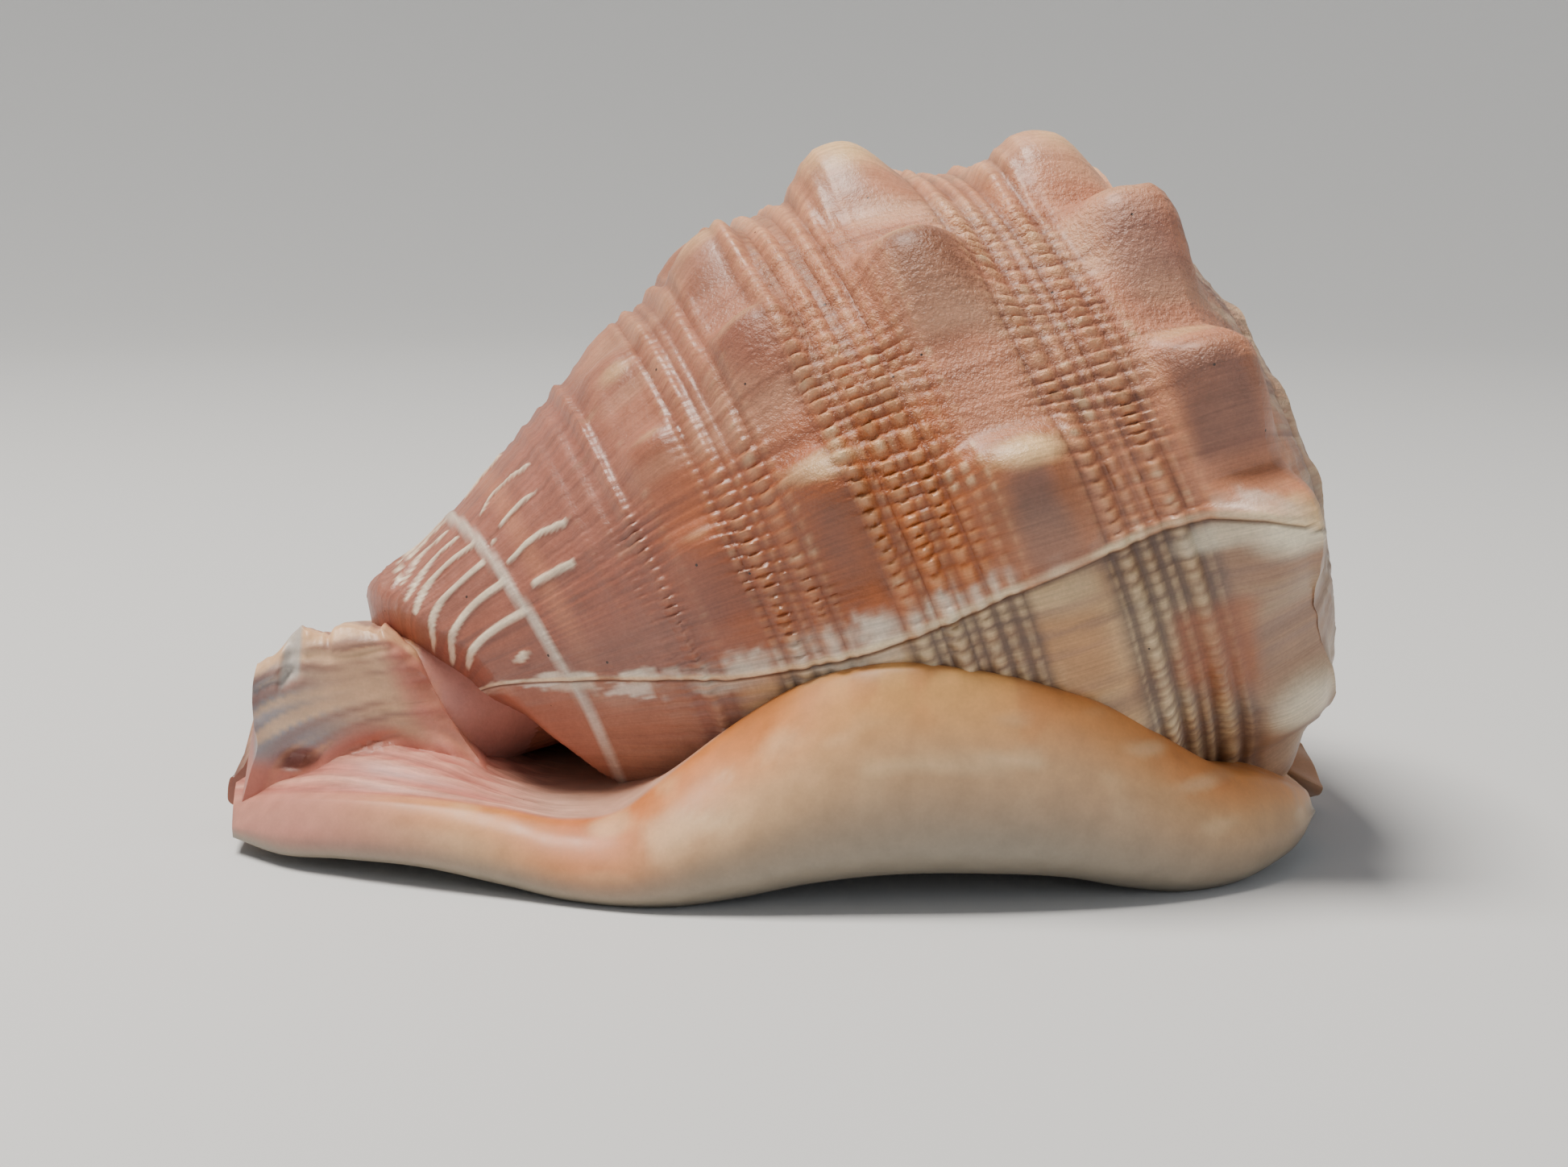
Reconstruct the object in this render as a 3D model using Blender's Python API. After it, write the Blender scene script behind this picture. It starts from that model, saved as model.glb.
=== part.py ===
"""A bullmouth helmet shell lying on its mouth, as one closed solid in metres, +Z up.

The shell is grown the way the animal grew it. One profile, from the apex to the canal, is carried
round a tilted axis while it widens and slides along, which gives the spire and the last whorl.
The thick shield and lip round the mouth, the canal and its neck are lofts along X that are joined
to the whorl, and the hollow and the slit of the mouth are cut from the whole.
"""

import math

import bmesh
import bpy
import mathutils
import numpy as np

MM = 0.001
NAME = "helmet_shell"

# The coiling axis, in the plane Y = 0, rising from the canal at -X to the apex at +X
AXIS_TILT = math.radians(16.0)
AXIS_POINT = np.array([58.0, 0.0, 44.0])
ALONG = np.array([math.cos(AXIS_TILT), 0.0, math.sin(AXIS_TILT)])
UPWARD = np.array([-math.sin(AXIS_TILT), 0.0, math.cos(AXIS_TILT)])
SIDEWAYS = np.array([0.0, -1.0, 0.0])

# Growth, by turn angle: 0 on the back, 90 on the shield side, younger shell at lower angles
WIDENING = 0.071
SHOULDER_RADIUS = 43.0
APEX_HEIGHT = 8.6
SPIRE_DROP = 12.6
SPIRE_CLOSING = 0.212
RING_LEAN = 0.08
RAMP_SWELL = 0.28
SPIRE_TURNS = 4.0
LIP_ANGLE = -140.0
TURN = 359.0

# Radius of the last whorl on the back, against the distance from the shoulder to the canal
WHORL_PROFILE = [
    (0, 43), (8, 46.2), (16, 47.6), (28, 49.8), (42.6, 49.2), (51, 46.5), (60, 42.3),
    (73, 35.2), (88.5, 25.2), (97, 20.2), (101, 17.6), (101.8, 12),
]

# Knobs, each as turn angle, distance from the shoulder and height
KNOBS = [
    (8, 4.5, 6.2), (31, -1, 6.5), (61, -1.5, 5.5), (90, -1, 5), (128, 3.0, 2.4), (155, 8, 3.8),
    (-20, 3, 3), (-45, 2, 6), (-71, 1, 7), (-97, 0, 6.5), (-123, 0, 6),
    (2, 31.5, 6), (33.5, 28, 5.2), (68.5, 28, 3.4), (89, 28.5, 1.6), (118, 29, 2.5),
    (-24, 28, 5.5), (-50, 28, 6), (-76, 28, 5.5), (-102, 28, 5),
    (4, 51, 2.6), (33, 50.5, 3), (59.5, 51, 2.2), (87, 52, 1.2),
    (-22, 51, 3), (-48, 51, 3), (-74, 51, 3), (-100, 51, 2.5),
    (20, 65.5, 1.0), (41, 66, 1.3), (61, 66.5, 1.2), (84, 66.5, 0.8),
    (-6, 66, 1.2), (-32, 66, 1.2), (-58, 66, 1.2), (-84, 66, 1.0),
]
KNOB_HALF_WIDTHS = [(0, 9.0, 9.0), (29, 8.8, 9.5), (51, 7.0, 8.5), (66, 5.0, 7.0)]

# The scar of a halt in growth, as (distance from the shoulder, turn angle)
SCAR = [
    (-3, 92), (4, 87.5), (10, 85), (15, 84.5), (21, 85), (28, 86), (36, 87), (41, 88), (46, 89), (55, 90.5),
    (61, 91), (71, 90.5), (80, 87), (89, 82), (96.4, 77), (102, 74),
]
SCAR_RIDGE = 0.7
SCAR_STEP = 0.5

# Bands of spiral cords between the knob rows: first and last cord, number, height
CORD_BANDS = [(13.0, 20.0, 3, 0.9), (37.5, 44.5, 3, 0.9), (57.5, 61.5, 2, 0.7), (71.5, 75.5, 2, 0.6)]

# The whorl rests on the callus from this height, and the callus on the ground at this one
BELLY_HEIGHT = 6.0
GROUND = -1.7


def spline(points, count):
    """Points evenly spread along a Catmull-Rom curve through the given ones."""
    points = np.array(points, float)
    ends = np.vstack([2 * points[0] - points[1], points, 2 * points[-1] - points[-2]])
    t = np.linspace(0, len(points) - 1, count)
    i = np.clip(t.astype(int), 0, len(points) - 2)
    f = (t - i)[:, None]
    p0, p1, p2, p3 = ends[i], ends[i + 1], ends[i + 2], ends[i + 3]
    return 0.5 * (2 * p1 + (p2 - p0) * f + (2 * p0 - 5 * p1 + 4 * p2 - p3) * f**2
                  + (3 * p1 - p0 - 3 * p2 + p3) * f**3)


def smooth_through(x, table):
    """Smooth value at x of a table of (x, value) pairs, without overshoot."""
    knots = np.array(table, float)
    xs, ys = knots[:, 0], knots[:, 1]
    slopes = np.gradient(ys, xs)
    x = np.clip(x, xs[0], xs[-1])
    i = np.clip(np.searchsorted(xs, x) - 1, 0, len(xs) - 2)
    h = xs[i + 1] - xs[i]
    f = (x - xs[i]) / h
    return (ys[i] * (1 + 2 * f) * (1 - f) ** 2 + slopes[i] * h * f * (1 - f) ** 2
            + ys[i + 1] * (3 - 2 * f) * f**2 - slopes[i + 1] * h * (1 - f) * f**2)


def widening(angle):
    return np.exp(-WIDENING * angle)


def shoulder_place(angle):
    """Place of the shoulder ring along the axis at a turn angle, for every whorl."""
    height = np.cos(angle)
    lean = RING_LEAN * SHOULDER_RADIUS * widening(angle) * height * (0.55 + 0.45 * np.tanh(3 * height))
    return APEX_HEIGHT - SPIRE_DROP * np.exp(-SPIRE_CLOSING * angle) - lean


def bump(x, half_width):
    """A round hump from 1 at x = 0 to 0 at the half width."""
    return np.where(np.abs(x) < half_width, (1 - (x / half_width) ** 2) ** 2, 0.0)


def knob_height(angle, distance):
    """Height of the knobs over the whorl at a turn angle and a distance from the shoulder."""
    height = np.zeros(np.broadcast(angle, distance).shape)
    rows, across, along = np.array(KNOB_HALF_WIDTHS).T
    for turn, row, rise in KNOBS:
        centre = math.radians(turn)
        radius = np.interp(max(row, 0), *np.array(WHORL_PROFILE).T) * widening(centre)
        arc = (angle - centre) * radius / np.interp(row, rows, along)
        arc = np.where(arc > 0, arc / 1.35, arc / 0.85)
        step = (distance - row) / np.interp(row, rows, across)
        height = np.maximum(height, rise * bump(step, 1.0) * bump(arc, 1.0))
    return height


def scar_angle(distance):
    return np.radians(np.interp(distance, *np.array(SCAR).T))


def scar_height(angle, distance):
    """The raised edge of the younger shell, and the older shell a little lower beside it."""
    arc = (angle - scar_angle(distance)) * 45.0
    older = np.where(arc > 0, np.clip(1 - arc / 25.0, 0, 1), 0.0)
    return SCAR_RIDGE * bump(arc + 0.8, 2.6) - SCAR_STEP * older


def cord_height(distance):
    """Height of the spiral cords between the knob rows."""
    height = np.zeros_like(distance)
    for first, last, count, rise in CORD_BANDS:
        pitch = (last - first) / (count - 1)
        phase = (distance - first) / pitch
        inside = (phase > -0.5) & (phase < count - 0.5)
        height = np.where(inside, rise * (0.5 + 0.5 * np.cos(2 * math.pi * phase)), height)
    return height


def shell_point(angle, place, radius):
    """World point at a turn angle, a place along the axis and a radius, in millimetres."""
    around = np.cos(angle)[..., None] * UPWARD + np.sin(angle)[..., None] * SIDEWAYS
    return AXIS_POINT + place[..., None] * ALONG + radius[..., None] * around


def whorl_points(angle, distance):
    """Points of the last whorl, knobs, cords and scar included."""
    radius = np.interp(distance, *spline(WHORL_PROFILE, 600).T) * widening(angle)
    relief = knob_height(angle, distance) + cord_height(distance) + scar_height(angle, distance)
    fade = np.clip((102 - distance) / 4, 0, 1)
    return shell_point(angle, shoulder_place(angle) - distance, radius + relief * fade)


def spire_points(angle, turns_in):
    """Points of the spire, as the ramp from the shoulder in, over earlier and earlier whorls."""
    whole = np.floor(turns_in)
    part = turns_in - whole
    older = angle + 2 * math.pi * whole
    outer, inner = shoulder_place(older), shoulder_place(older + 2 * math.pi)
    radius = SHOULDER_RADIUS * np.exp(-WIDENING * (angle + 2 * math.pi * turns_in))
    swell = RAMP_SWELL * radius * widening(math.tau) * part * (1 - part)
    knobs = knob_height(angle, -24.0 * part) * np.where(whole < 1, 1.0, 0.25 * (whole < 3))
    place = outer + (inner - outer) * part + swell + 0.3 * knobs
    return shell_point(angle, place, radius + 0.95 * knobs)


def column_angles(count, distance):
    """Turn angles of the mesh columns, two of them following the scar."""
    plain = np.radians(LIP_ANGLE + TURN * np.arange(count) / (count - 1))
    nearest = np.argmin(np.abs(plain - math.radians(90)))
    plain[nearest + 1] = plain[nearest] + math.radians(1.8)
    pull = bump((plain - plain[nearest]) / math.radians(30), 1.0)
    return plain + pull * (scar_angle(distance) - plain[nearest])


def whorl_solid(columns, spire_rows, distances):
    """The spire and the last whorl as one closed mesh, with a flat wall at the mouth."""
    rings = []
    plain = column_angles(columns, 0.0)
    grown = np.linspace(0, 1, columns) * TURN / 360
    for turns in np.linspace(SPIRE_TURNS, 0, spire_rows, endpoint=False):
        rings.append(spire_points(plain, np.maximum(turns - grown, 0.0)))
    for distance in distances:
        rings.append(whorl_points(column_angles(columns, distance), np.full(columns, distance)))
    apex = AXIS_POINT + ALONG * (APEX_HEIGHT + 0.8)
    return skin(rings, apex, rings[-1].mean(axis=0))


def skin(rings, first_pole, last_pole):
    """Vertices and faces of a closed mesh through closed rings, ended in two poles."""
    count = len(rings[0])
    vertices = [first_pole, *np.concatenate(rings), last_pole]
    faces = []
    for j in range(count):
        k = (j + 1) % count
        faces.append((0, 1 + j, 1 + k))
        for i in range(len(rings) - 1):
            a, b = 1 + i * count, 1 + (i + 1) * count
            faces.append((a + j, b + j, b + k, a + k))
        last = 1 + (len(rings) - 1) * count
        faces.append((last + k, last + j, len(vertices) - 1))
    return vertices, faces


def closed_loop(points, count):
    """Points along a smooth closed curve through the given ones."""
    points = np.array(points, float)
    n = len(points)
    t = np.arange(count) * n / count
    i = t.astype(int)
    f = (t - i)[:, None]
    p0, p1, p2, p3 = points[i - 1], points[i], points[(i + 1) % n], points[(i + 2) % n]
    return 0.5 * (2 * p1 + (p2 - p0) * f + (2 * p0 - 5 * p1 + 4 * p2 - p3) * f**2
                  + (3 * p1 - p0 - 3 * p2 + p3) * f**3)


def mesh_object(name, vertices, faces, collection):
    """A mesh object in metres from millimetre vertices, with its faces turned outwards."""
    mesh = bpy.data.meshes.new(name)
    mesh.from_pydata([tuple(float(c) * MM for c in v) for v in vertices], [], faces)
    b = bmesh.new()
    b.from_mesh(mesh)
    bmesh.ops.remove_doubles(b, verts=b.verts, dist=0.00001)
    bmesh.ops.recalc_face_normals(b, faces=b.faces)
    b.to_mesh(mesh)
    b.free()
    obj = bpy.data.objects.new(name, mesh)
    collection.objects.link(obj)
    return obj


def loft(name, stations, section, points_round, collection, place=None):
    """A closed loft: section(s) gives the (y, z) loop of station s, place(s, z) its X."""
    rings = []
    for station in stations:
        loop = closed_loop(section(station), points_round)
        x = np.full(len(loop), station) if place is None else place(station, loop[:, 1])
        rings.append(np.column_stack([x, loop]))
    return mesh_object(name, *skin(rings, rings[0].mean(axis=0), rings[-1].mean(axis=0)), collection)


# The shield, on the -Y side of the mouth: outer margin, lowest line, upper edge, by X
SHIELD_MARGIN = [
    (-72, -12), (-66, -19.3), (-58, -25), (-48, -31), (-38, -36.5), (-30, -41), (-22, -44.5),
    (-12, -46.5), (0, -47.8), (18, -49), (30, -48.5), (40, -46.8), (48, -44), (56, -39), (62, -32),
    (66, -24),
]
SHIELD_LOW = [
    (-72, 0.3), (-66, -0.2), (-58, 0.3), (-48, 0.4), (-38, -0.8), (-30, -1.9), (-24, -2.1), (-17, -1.9),
    (-10, -0.8), (-2, 0.8), (8, 1.9), (20, 1.8), (30, 0.9), (38, -0.9), (44, -2.0), (51, -2.0),
    (57, -0.8), (62, 0.8), (66, 3.2),
]
SHIELD_EDGE_Y = [
    (-72, -8), (-66, -15), (-58, -21.5), (-48, -27), (-38, -31.5), (-30, -34.5), (-24, -36), (-18, -36),
    (-11, -34.5), (-2, -38), (8, -42), (18, -44), (28, -43.6), (38, -41), (44, -38.5), (50, -37),
    (56, -33), (62, -27), (66, -20),
]
SHIELD_EDGE_Z = [
    (-72, 4.5), (-66, 6.4), (-58, 7.8), (-48, 8.4), (-38, 8.0), (-30, 7.2), (-24, 8.2), (-18, 12.5),
    (-11, 17.5), (-2, 24), (8, 27.4), (18, 26.8), (28, 24.3), (38, 20), (44, 16.0), (50, 12.5),
    (56, 10.5), (62, 7.5), (66, 5.0),
]
SHIELD_INNER_Z = [
    (-72, 5.5), (-66, 8), (-58, 12), (-50, 13), (-44, 11.5), (-38, 7.5), (-32, 4.8), (-26, 4.8),
    (-20, 6), (-10, 8.5), (0, 12), (30, 14), (46, 10), (60, 8), (66, 5),
]

# The slit of the mouth: its middle line and its half width, by X
SLIT_MIDDLE = [
    (-76, 0), (-58, 3), (-45, 9), (-30, 16), (-12, 22), (10, 27), (35, 27), (52, 22), (62, 14),
    (66, 2), (68.5, -6), (71.5, -9),
]
SLIT_HALF_WIDTH = [
    (-72, 2.5), (-58, 3.0), (-45, 3.5), (-20, 4.5), (10, 5), (35, 5), (52, 4), (64, 2.0),
]

# The hollow: thickness of its outer wall, size of the whorl before it, and where it ends
WALL = 4.5
WHORL_BEFORE = 0.68
HOLLOW_START = -118.0
HOLLOW_END = 175.0

TOOTH_HEIGHT = 1.3
TOOTH_PITCH = 6.0

# The lip, on the +Y side: outer margin, lowest line, height of its rolled edge, by X
LIP_MARGIN = [
    (-75.5, 2.5), (-73, 5), (-66, 13), (-56, 21.5), (-45, 30), (-32, 39.5), (-18, 48), (-2, 55.5),
    (14, 59.5), (30, 59), (44, 54), (56, 45), (63, 36), (67, 26), (70, 13.5), (71.5, 5),
]
LIP_LOW = [
    (-75.5, 1.0), (-70, 0.6), (-60, 1.0), (-40, 0.6), (-20, -0.8), (0, -2.0), (20, -2.1), (34, -1.6),
    (50, -0.4), (58, 0), (66, -1.2), (71.5, -1.4),
]
LIP_EDGE_Z = [
    (-75.5, 3), (-74, 4.2), (-72.3, 5.5), (-71, 9), (-69.8, 13.5), (-60, 14), (-40, 15.5),
    (-20, 19), (0, 21.5), (20, 21.5), (40, 19.5), (56, 16.5), (63, 13), (67, 10), (70, 7.5), (71.5, 6),
]


def shield_section(x):
    """Loop of the shield at x: up its outside, over the edge, and back through the whorl."""
    margin, low = smooth_through(x, SHIELD_MARGIN), smooth_through(x, SHIELD_LOW)
    edge_y, edge_z = smooth_through(x, SHIELD_EDGE_Y), smooth_through(x, SHIELD_EDGE_Z)
    inner = smooth_through(x, SHIELD_INNER_Z)
    slit = smooth_through(x, SLIT_MIDDLE) - 0.4 * smooth_through(x, SLIT_HALF_WIDTH)
    floor, reach, back = low, slit - margin, slit - edge_y
    return [
        (margin + 0.15 * reach, floor), (margin + 0.07 * reach, floor + 0.05),
        (margin + 0.4, 0.8 * floor + 0.15 * edge_z), (margin, 0.4 * floor + 0.42 * edge_z),
        (0.62 * margin + 0.38 * edge_y, 0.74 * edge_z), (0.2 * margin + 0.8 * edge_y, 0.94 * edge_z),
        (edge_y + 0.02 * back, edge_z), (edge_y + 0.10 * back, 0.85 * edge_z + 0.15 * inner),
        (edge_y + 0.28 * back, 0.3 * edge_z + 0.7 * inner), (edge_y + 0.55 * back, inner),
        (edge_y + 0.85 * back, 0.4 * inner + 4.5), (slit, 5.0), (slit - 0.07 * reach, 2.2),
        (margin + 0.65 * reach, 1.2), (margin + 0.35 * reach, 0.5 * floor + 0.3),
    ]


def lip_section(x):
    """Loop of the lip at x: out along the floor, round its margin, and back into the whorl."""
    margin = smooth_through(x, LIP_MARGIN)
    low = smooth_through(x, LIP_LOW)
    rise = smooth_through(x, LIP_EDGE_Z)
    slit = min(smooth_through(x, SLIT_MIDDLE) + 0.4 * smooth_through(x, SLIT_HALF_WIDTH), margin - 4)
    span = margin - slit
    return [
        (margin - 0.22 * span, low), (margin - 0.34 * span, low + 0.2),
        (slit + 0.3 * span, 0.5 * low + 1.0), (slit + 0.1 * span, min(2.2, 0.2 * rise)),
        (slit, min(5.0, 0.4 * rise)), (slit + 0.12 * span, 0.5 * rise),
        (slit + 0.35 * span, rise * 0.75), (margin - 0.35 * span, rise * 0.9),
        (margin - 0.16 * span, rise), (margin - 0.05 * span, 0.8 * rise),
        (margin, 0.45 * rise), (margin - 0.03 * span, 0.16 * rise + 0.7 * low),
        (margin - 0.12 * span, low + 0.1),
    ]


# The canal: left and right ends, height of the top, near and far sides
CANAL_LEFT = [(4, -71), (9, -69.5), (12, -68.6), (15, -69.0), (20, -69.0), (24, -68.0), (29, -66.5)]
CANAL_RIGHT = [(4, -36), (7.5, -38), (12.4, -42), (18.8, -45.9), (26.7, -49.8), (29, -51)]
CANAL_TOP = [(0, 23.0), (0.2, 26.3), (0.38, 27.2), (0.6, 28.0), (0.8, 28.2), (1.0, 27.0)]
CANAL_NEAR = [(0, -10.5), (0.3, -12.5), (0.7, -12.8), (0.9, -13.6), (1.0, -12.5)]
CANAL_FAR = [(0, 5), (0.4, 12), (0.7, 17), (1.0, 21)]


def canal_place(station, z):
    """X of the canal at a station from its left end, 0, to its right end, 1, at height z."""
    left, right = smooth_through(z, CANAL_LEFT), smooth_through(z, CANAL_RIGHT)
    return left + station * (right - left)


def canal_section(station):
    """Loop of the turned-up canal, its near wall hollow and flaring to the flange below."""
    top = smooth_through(station, CANAL_TOP)
    near, far = smooth_through(station, CANAL_NEAR), smooth_through(station, CANAL_FAR)
    return [
        (near - 3.5, 8.0), (near - 1.8, 11.0), (near - 0.2, 15.0), (near + 0.5, 20.0),
        (near + 0.3, top - 2.5),
        (near + 1.3, top - 0.3), (near + 3.5, top), (0.5 * (near + far), top - 1.5), (far - 4.0, top - 4.0),
        (far - 1.0, top - 9.0), (far, 12.0), (far - 1.0, 6.0), (0.5 * (near + far), 4.5), (near + 1.0, 5.0),
    ]


# The groove of the canal, open to the left: how far back it reaches, and its middle, by height
GROOVE_BACK = [(-4, -58), (4, -60), (10, -62), (18, -63.5), (26, -63.5), (34, -62)]
GROOVE_MIDDLE = [(-4, 0.5), (8, 0.0), (18, -2.0), (34, -4.0)]


def groove_solid(name, collection):
    """The groove that carries the siphon from the mouth up and out at the left end."""
    rings = []
    for z in np.linspace(-4, 34, 9):
        back, middle = smooth_through(z, GROOVE_BACK), smooth_through(z, GROOVE_MIDDLE)
        loop = closed_loop([
            (-80, middle - 3.4), (back - 5, middle - 3.2), (back - 1, middle - 2.2), (back, middle),
            (back - 1, middle + 2.2), (back - 5, middle + 3.2), (-80, middle + 3.4),
        ], 16)
        rings.append(np.column_stack([loop, np.full(len(loop), z)]))
    return mesh_object(name, *skin(rings, rings[0].mean(axis=0), rings[-1].mean(axis=0)), collection)


NECK_RADIUS = [(-60, 9), (-54, 12), (-50, 13.2), (-44, 12.0), (-38, 10.0), (-32, 9.0), (-20, 9.0)]


def neck_section(x):
    """Loop of the smooth neck between the canal and the last whorl."""
    radius = smooth_through(x, NECK_RADIUS)
    middle = AXIS_POINT[2] + (x - AXIS_POINT[0]) * math.tan(AXIS_TILT)
    around = np.arange(12) * math.tau / 12
    return [(radius * math.cos(a), middle + radius * math.sin(a)) for a in around]


def hollow_solid(name, rows, columns, collection):
    """The hollow inside the last whorl, coiling back from the mouth outside the whorl before."""
    angles = np.radians(np.linspace(HOLLOW_START, HOLLOW_END, rows))
    around = np.arange(columns) * math.tau / columns
    rings = []
    for i, angle in enumerate(angles):
        closing = math.sqrt(max(0.02, 1 - (i / (rows - 1)) ** 6))
        distance = 42 + 38 * closing * np.cos(around)
        outer = np.interp(distance, *spline(WHORL_PROFILE, 600).T) * widening(angle)
        middle = ((1 + WHORL_BEFORE) * outer - WALL) / 2
        half = ((1 - WHORL_BEFORE) * outer - WALL) / 2 * closing
        where = np.full(columns, angle)
        radius = middle + half * np.sin(around)
        rings.append(shell_point(where, shoulder_place(where) - distance, radius))
    return mesh_object(name, *skin(rings, rings[0].mean(axis=0), rings[-1].mean(axis=0)), collection)


def slit_section(x):
    """Loop of the slit at x, leaning out to the hollow of the whorl, narrowed by the teeth."""
    middle, half = smooth_through(x, SLIT_MIDDLE), smooth_through(x, SLIT_HALF_WIDTH)
    teeth = TOOTH_HEIGHT * (0.5 + 0.5 * math.cos(math.tau * x / TOOTH_PITCH)) * (-50 < x < 50)
    near, far = middle - half + 0.6 * teeth, middle + half - teeth
    deep = float(bump(x - 22, 50))
    return [
        (near - 0.5, -6.0), (far + 0.5, -6.0), (far, 1.0), (far + 0.2, 5.0),
        (middle + half + 3.0 + 4.5 * deep, 11.0 + 2.0 * deep), (middle + 3.0 + 2.0 * deep, 13.0 + 3.0 * deep),
        (middle - half + 2.0, 9.5), (near, 5.0), (near, 1.0),
    ]


def block(name, x, y, z, collection):
    """A plain box between two values on each axis."""
    corners = [(a, b, c) for a in x for b in y for c in z]
    faces = [(0, 1, 3, 2), (4, 6, 7, 5), (0, 4, 5, 1), (2, 3, 7, 6), (0, 2, 6, 4), (1, 5, 7, 3)]
    return mesh_object(name, corners, faces, collection)


def join(target, other, operation, solver="EXACT"):
    """Joins another solid to the target, or cuts it away, and removes the other."""
    modifier = target.modifiers.new(operation, "BOOLEAN")
    modifier.operation = operation
    modifier.solver = solver
    modifier.object = other
    graph = bpy.context.evaluated_depsgraph_get()
    mesh = bpy.data.meshes.new_from_object(target.evaluated_get(graph))
    target.modifiers.clear()
    target.data = mesh
    bpy.data.objects.remove(other)


def drop_chips(shell):
    """Removes the loose chips that the cuts leave between the teeth and the hollow."""
    b = bmesh.new()
    b.from_mesh(shell.data)
    bodies = []
    waiting = set(b.verts)
    while waiting:
        body = {waiting.pop()}
        edge = set(body)
        while edge:
            edge = {e.other_vert(v) for v in edge for e in v.link_edges} - body
            body |= edge
        waiting -= body
        bodies.append(body)
    bodies.sort(key=len)
    chips = [v for body in bodies[:-1] for v in body]
    bmesh.ops.delete(b, geom=chips, context="VERTS")
    b.to_mesh(shell.data)
    b.free()


def settle(shell):
    """Stands the shell on the ground, with the middle of its box over the origin."""
    corners = np.array([v.co for v in shell.data.vertices])
    low, high = corners.min(axis=0), corners.max(axis=0)
    middle = (low + high) / 2
    shell.data.transform(mathutils.Matrix.Translation((-middle[0], -middle[1], -low[2])))


def shell_material():
    """Warm cream and orange-brown, with the dull gloss of old shell."""
    material = bpy.data.materials.new("shell")
    material.use_nodes = True
    surface = material.node_tree.nodes["Principled BSDF"]
    surface.inputs["Base Color"].default_value = (0.52, 0.27, 0.17, 1.0)
    surface.inputs["Roughness"].default_value = 0.4
    surface.inputs["Metallic"].default_value = 0.0
    return material


def whorl_rows():
    """Distances of the mesh rows: close together over the cords, wide over the knobs."""
    rows = list(np.arange(0.0, 10.0, 3.0))
    for first, last, count, _ in CORD_BANDS:
        half = (last - first) / (count - 1) / 2
        gap = first - half - rows[-1]
        steps = max(1, round(gap / 3.6))
        rows.extend(rows[-1] + gap * np.arange(1, steps) / steps)
        rows.extend(np.linspace(first - half, last + half, 2 * count + 1))
    rows.extend([82, 88, 93, 97.5, 101, 101.8])
    return np.array(rows)


def build():
    """Makes the shell from its solids and leaves one object in the scene."""
    for obj in list(bpy.data.objects):
        bpy.data.objects.remove(obj)
    collection = bpy.data.collections.new(NAME)
    bpy.context.scene.collection.children.link(collection)
    shell = mesh_object(NAME, *whorl_solid(60, 16, whorl_rows()), collection)
    join(shell, block("belly", (-90, 90), (-80, 80), (-60, BELLY_HEIGHT), collection), "DIFFERENCE")
    join(shell, loft("shield", np.linspace(-72, 66, 38), shield_section, 26, collection), "UNION")
    join(shell, loft("lip", np.linspace(-75.5, 71.5, 33), lip_section, 20, collection), "UNION")
    canal = loft("canal", np.linspace(0, 1, 10), canal_section, 24, collection, canal_place)
    join(shell, canal, "UNION")
    join(shell, loft("neck", np.linspace(-60, -20, 9), neck_section, 18, collection), "UNION")
    join(shell, hollow_solid("hollow", 20, 16, collection), "DIFFERENCE", "MANIFOLD")
    slit = loft("slit", np.linspace(-64, 61, 44), slit_section, 12, collection)
    join(shell, slit, "DIFFERENCE", "MANIFOLD")
    join(shell, groove_solid("groove", collection), "DIFFERENCE", "MANIFOLD")
    join(shell, block("ground", (-90, 90), (-80, 80), (-60, GROUND), collection), "DIFFERENCE", "MANIFOLD")
    drop_chips(shell)
    settle(shell)
    shell.data.materials.clear()
    shell.data.materials.append(shell_material())
    return shell


build()
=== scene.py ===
# %% [markdown]
# # A bullmouth helmet shell
#
# A helmet shell is one piece, laid down by the animal at the rim of its mouth as it turned and
# widened. It could be sculpted, but a rule of growth gives the coil, the rows of knobs and the lines
# their true run for little work, so it is grown here from numbers. The rule is the solid's own. The
# knobs, the cords, the canal's top, the upper side of the flange and the canal end of the last whorl
# are this script's own. Everything is worked out in millimetres in the shell's own growth frame, then
# stood on the ground where the solid stands.

# %% Start
import math

import bmesh
import bpy
import numpy as np
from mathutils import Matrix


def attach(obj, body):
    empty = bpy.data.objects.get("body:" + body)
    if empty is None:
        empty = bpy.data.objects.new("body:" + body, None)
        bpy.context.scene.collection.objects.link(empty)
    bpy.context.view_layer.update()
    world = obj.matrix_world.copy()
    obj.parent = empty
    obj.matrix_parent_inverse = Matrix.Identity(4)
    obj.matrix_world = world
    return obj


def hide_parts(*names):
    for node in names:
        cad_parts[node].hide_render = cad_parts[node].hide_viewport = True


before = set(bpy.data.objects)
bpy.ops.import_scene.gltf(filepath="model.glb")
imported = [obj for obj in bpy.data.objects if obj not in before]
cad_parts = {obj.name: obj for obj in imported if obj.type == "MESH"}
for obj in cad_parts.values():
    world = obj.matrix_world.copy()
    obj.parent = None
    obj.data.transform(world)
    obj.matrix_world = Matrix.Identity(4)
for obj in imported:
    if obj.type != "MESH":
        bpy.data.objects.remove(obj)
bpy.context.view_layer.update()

MM = 0.001
NODE = "helmet_shell"
# From the growth frame to the frame of the solid, in millimetres
SHIFT = np.array([1.22, -5.33, 1.70])

# %% [markdown]
# ## How the shell grows
#
# One profile turns round a tilted axis while it widens. The turn angle is 0 on the back and 90 on
# the side of the shield, and older shell has a higher angle. The distance runs from the shoulder,
# at 0, to the canal, at about 102 mm. Every mark on the whorl has its place in these two numbers,
# so that it follows the growth by itself.

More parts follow.
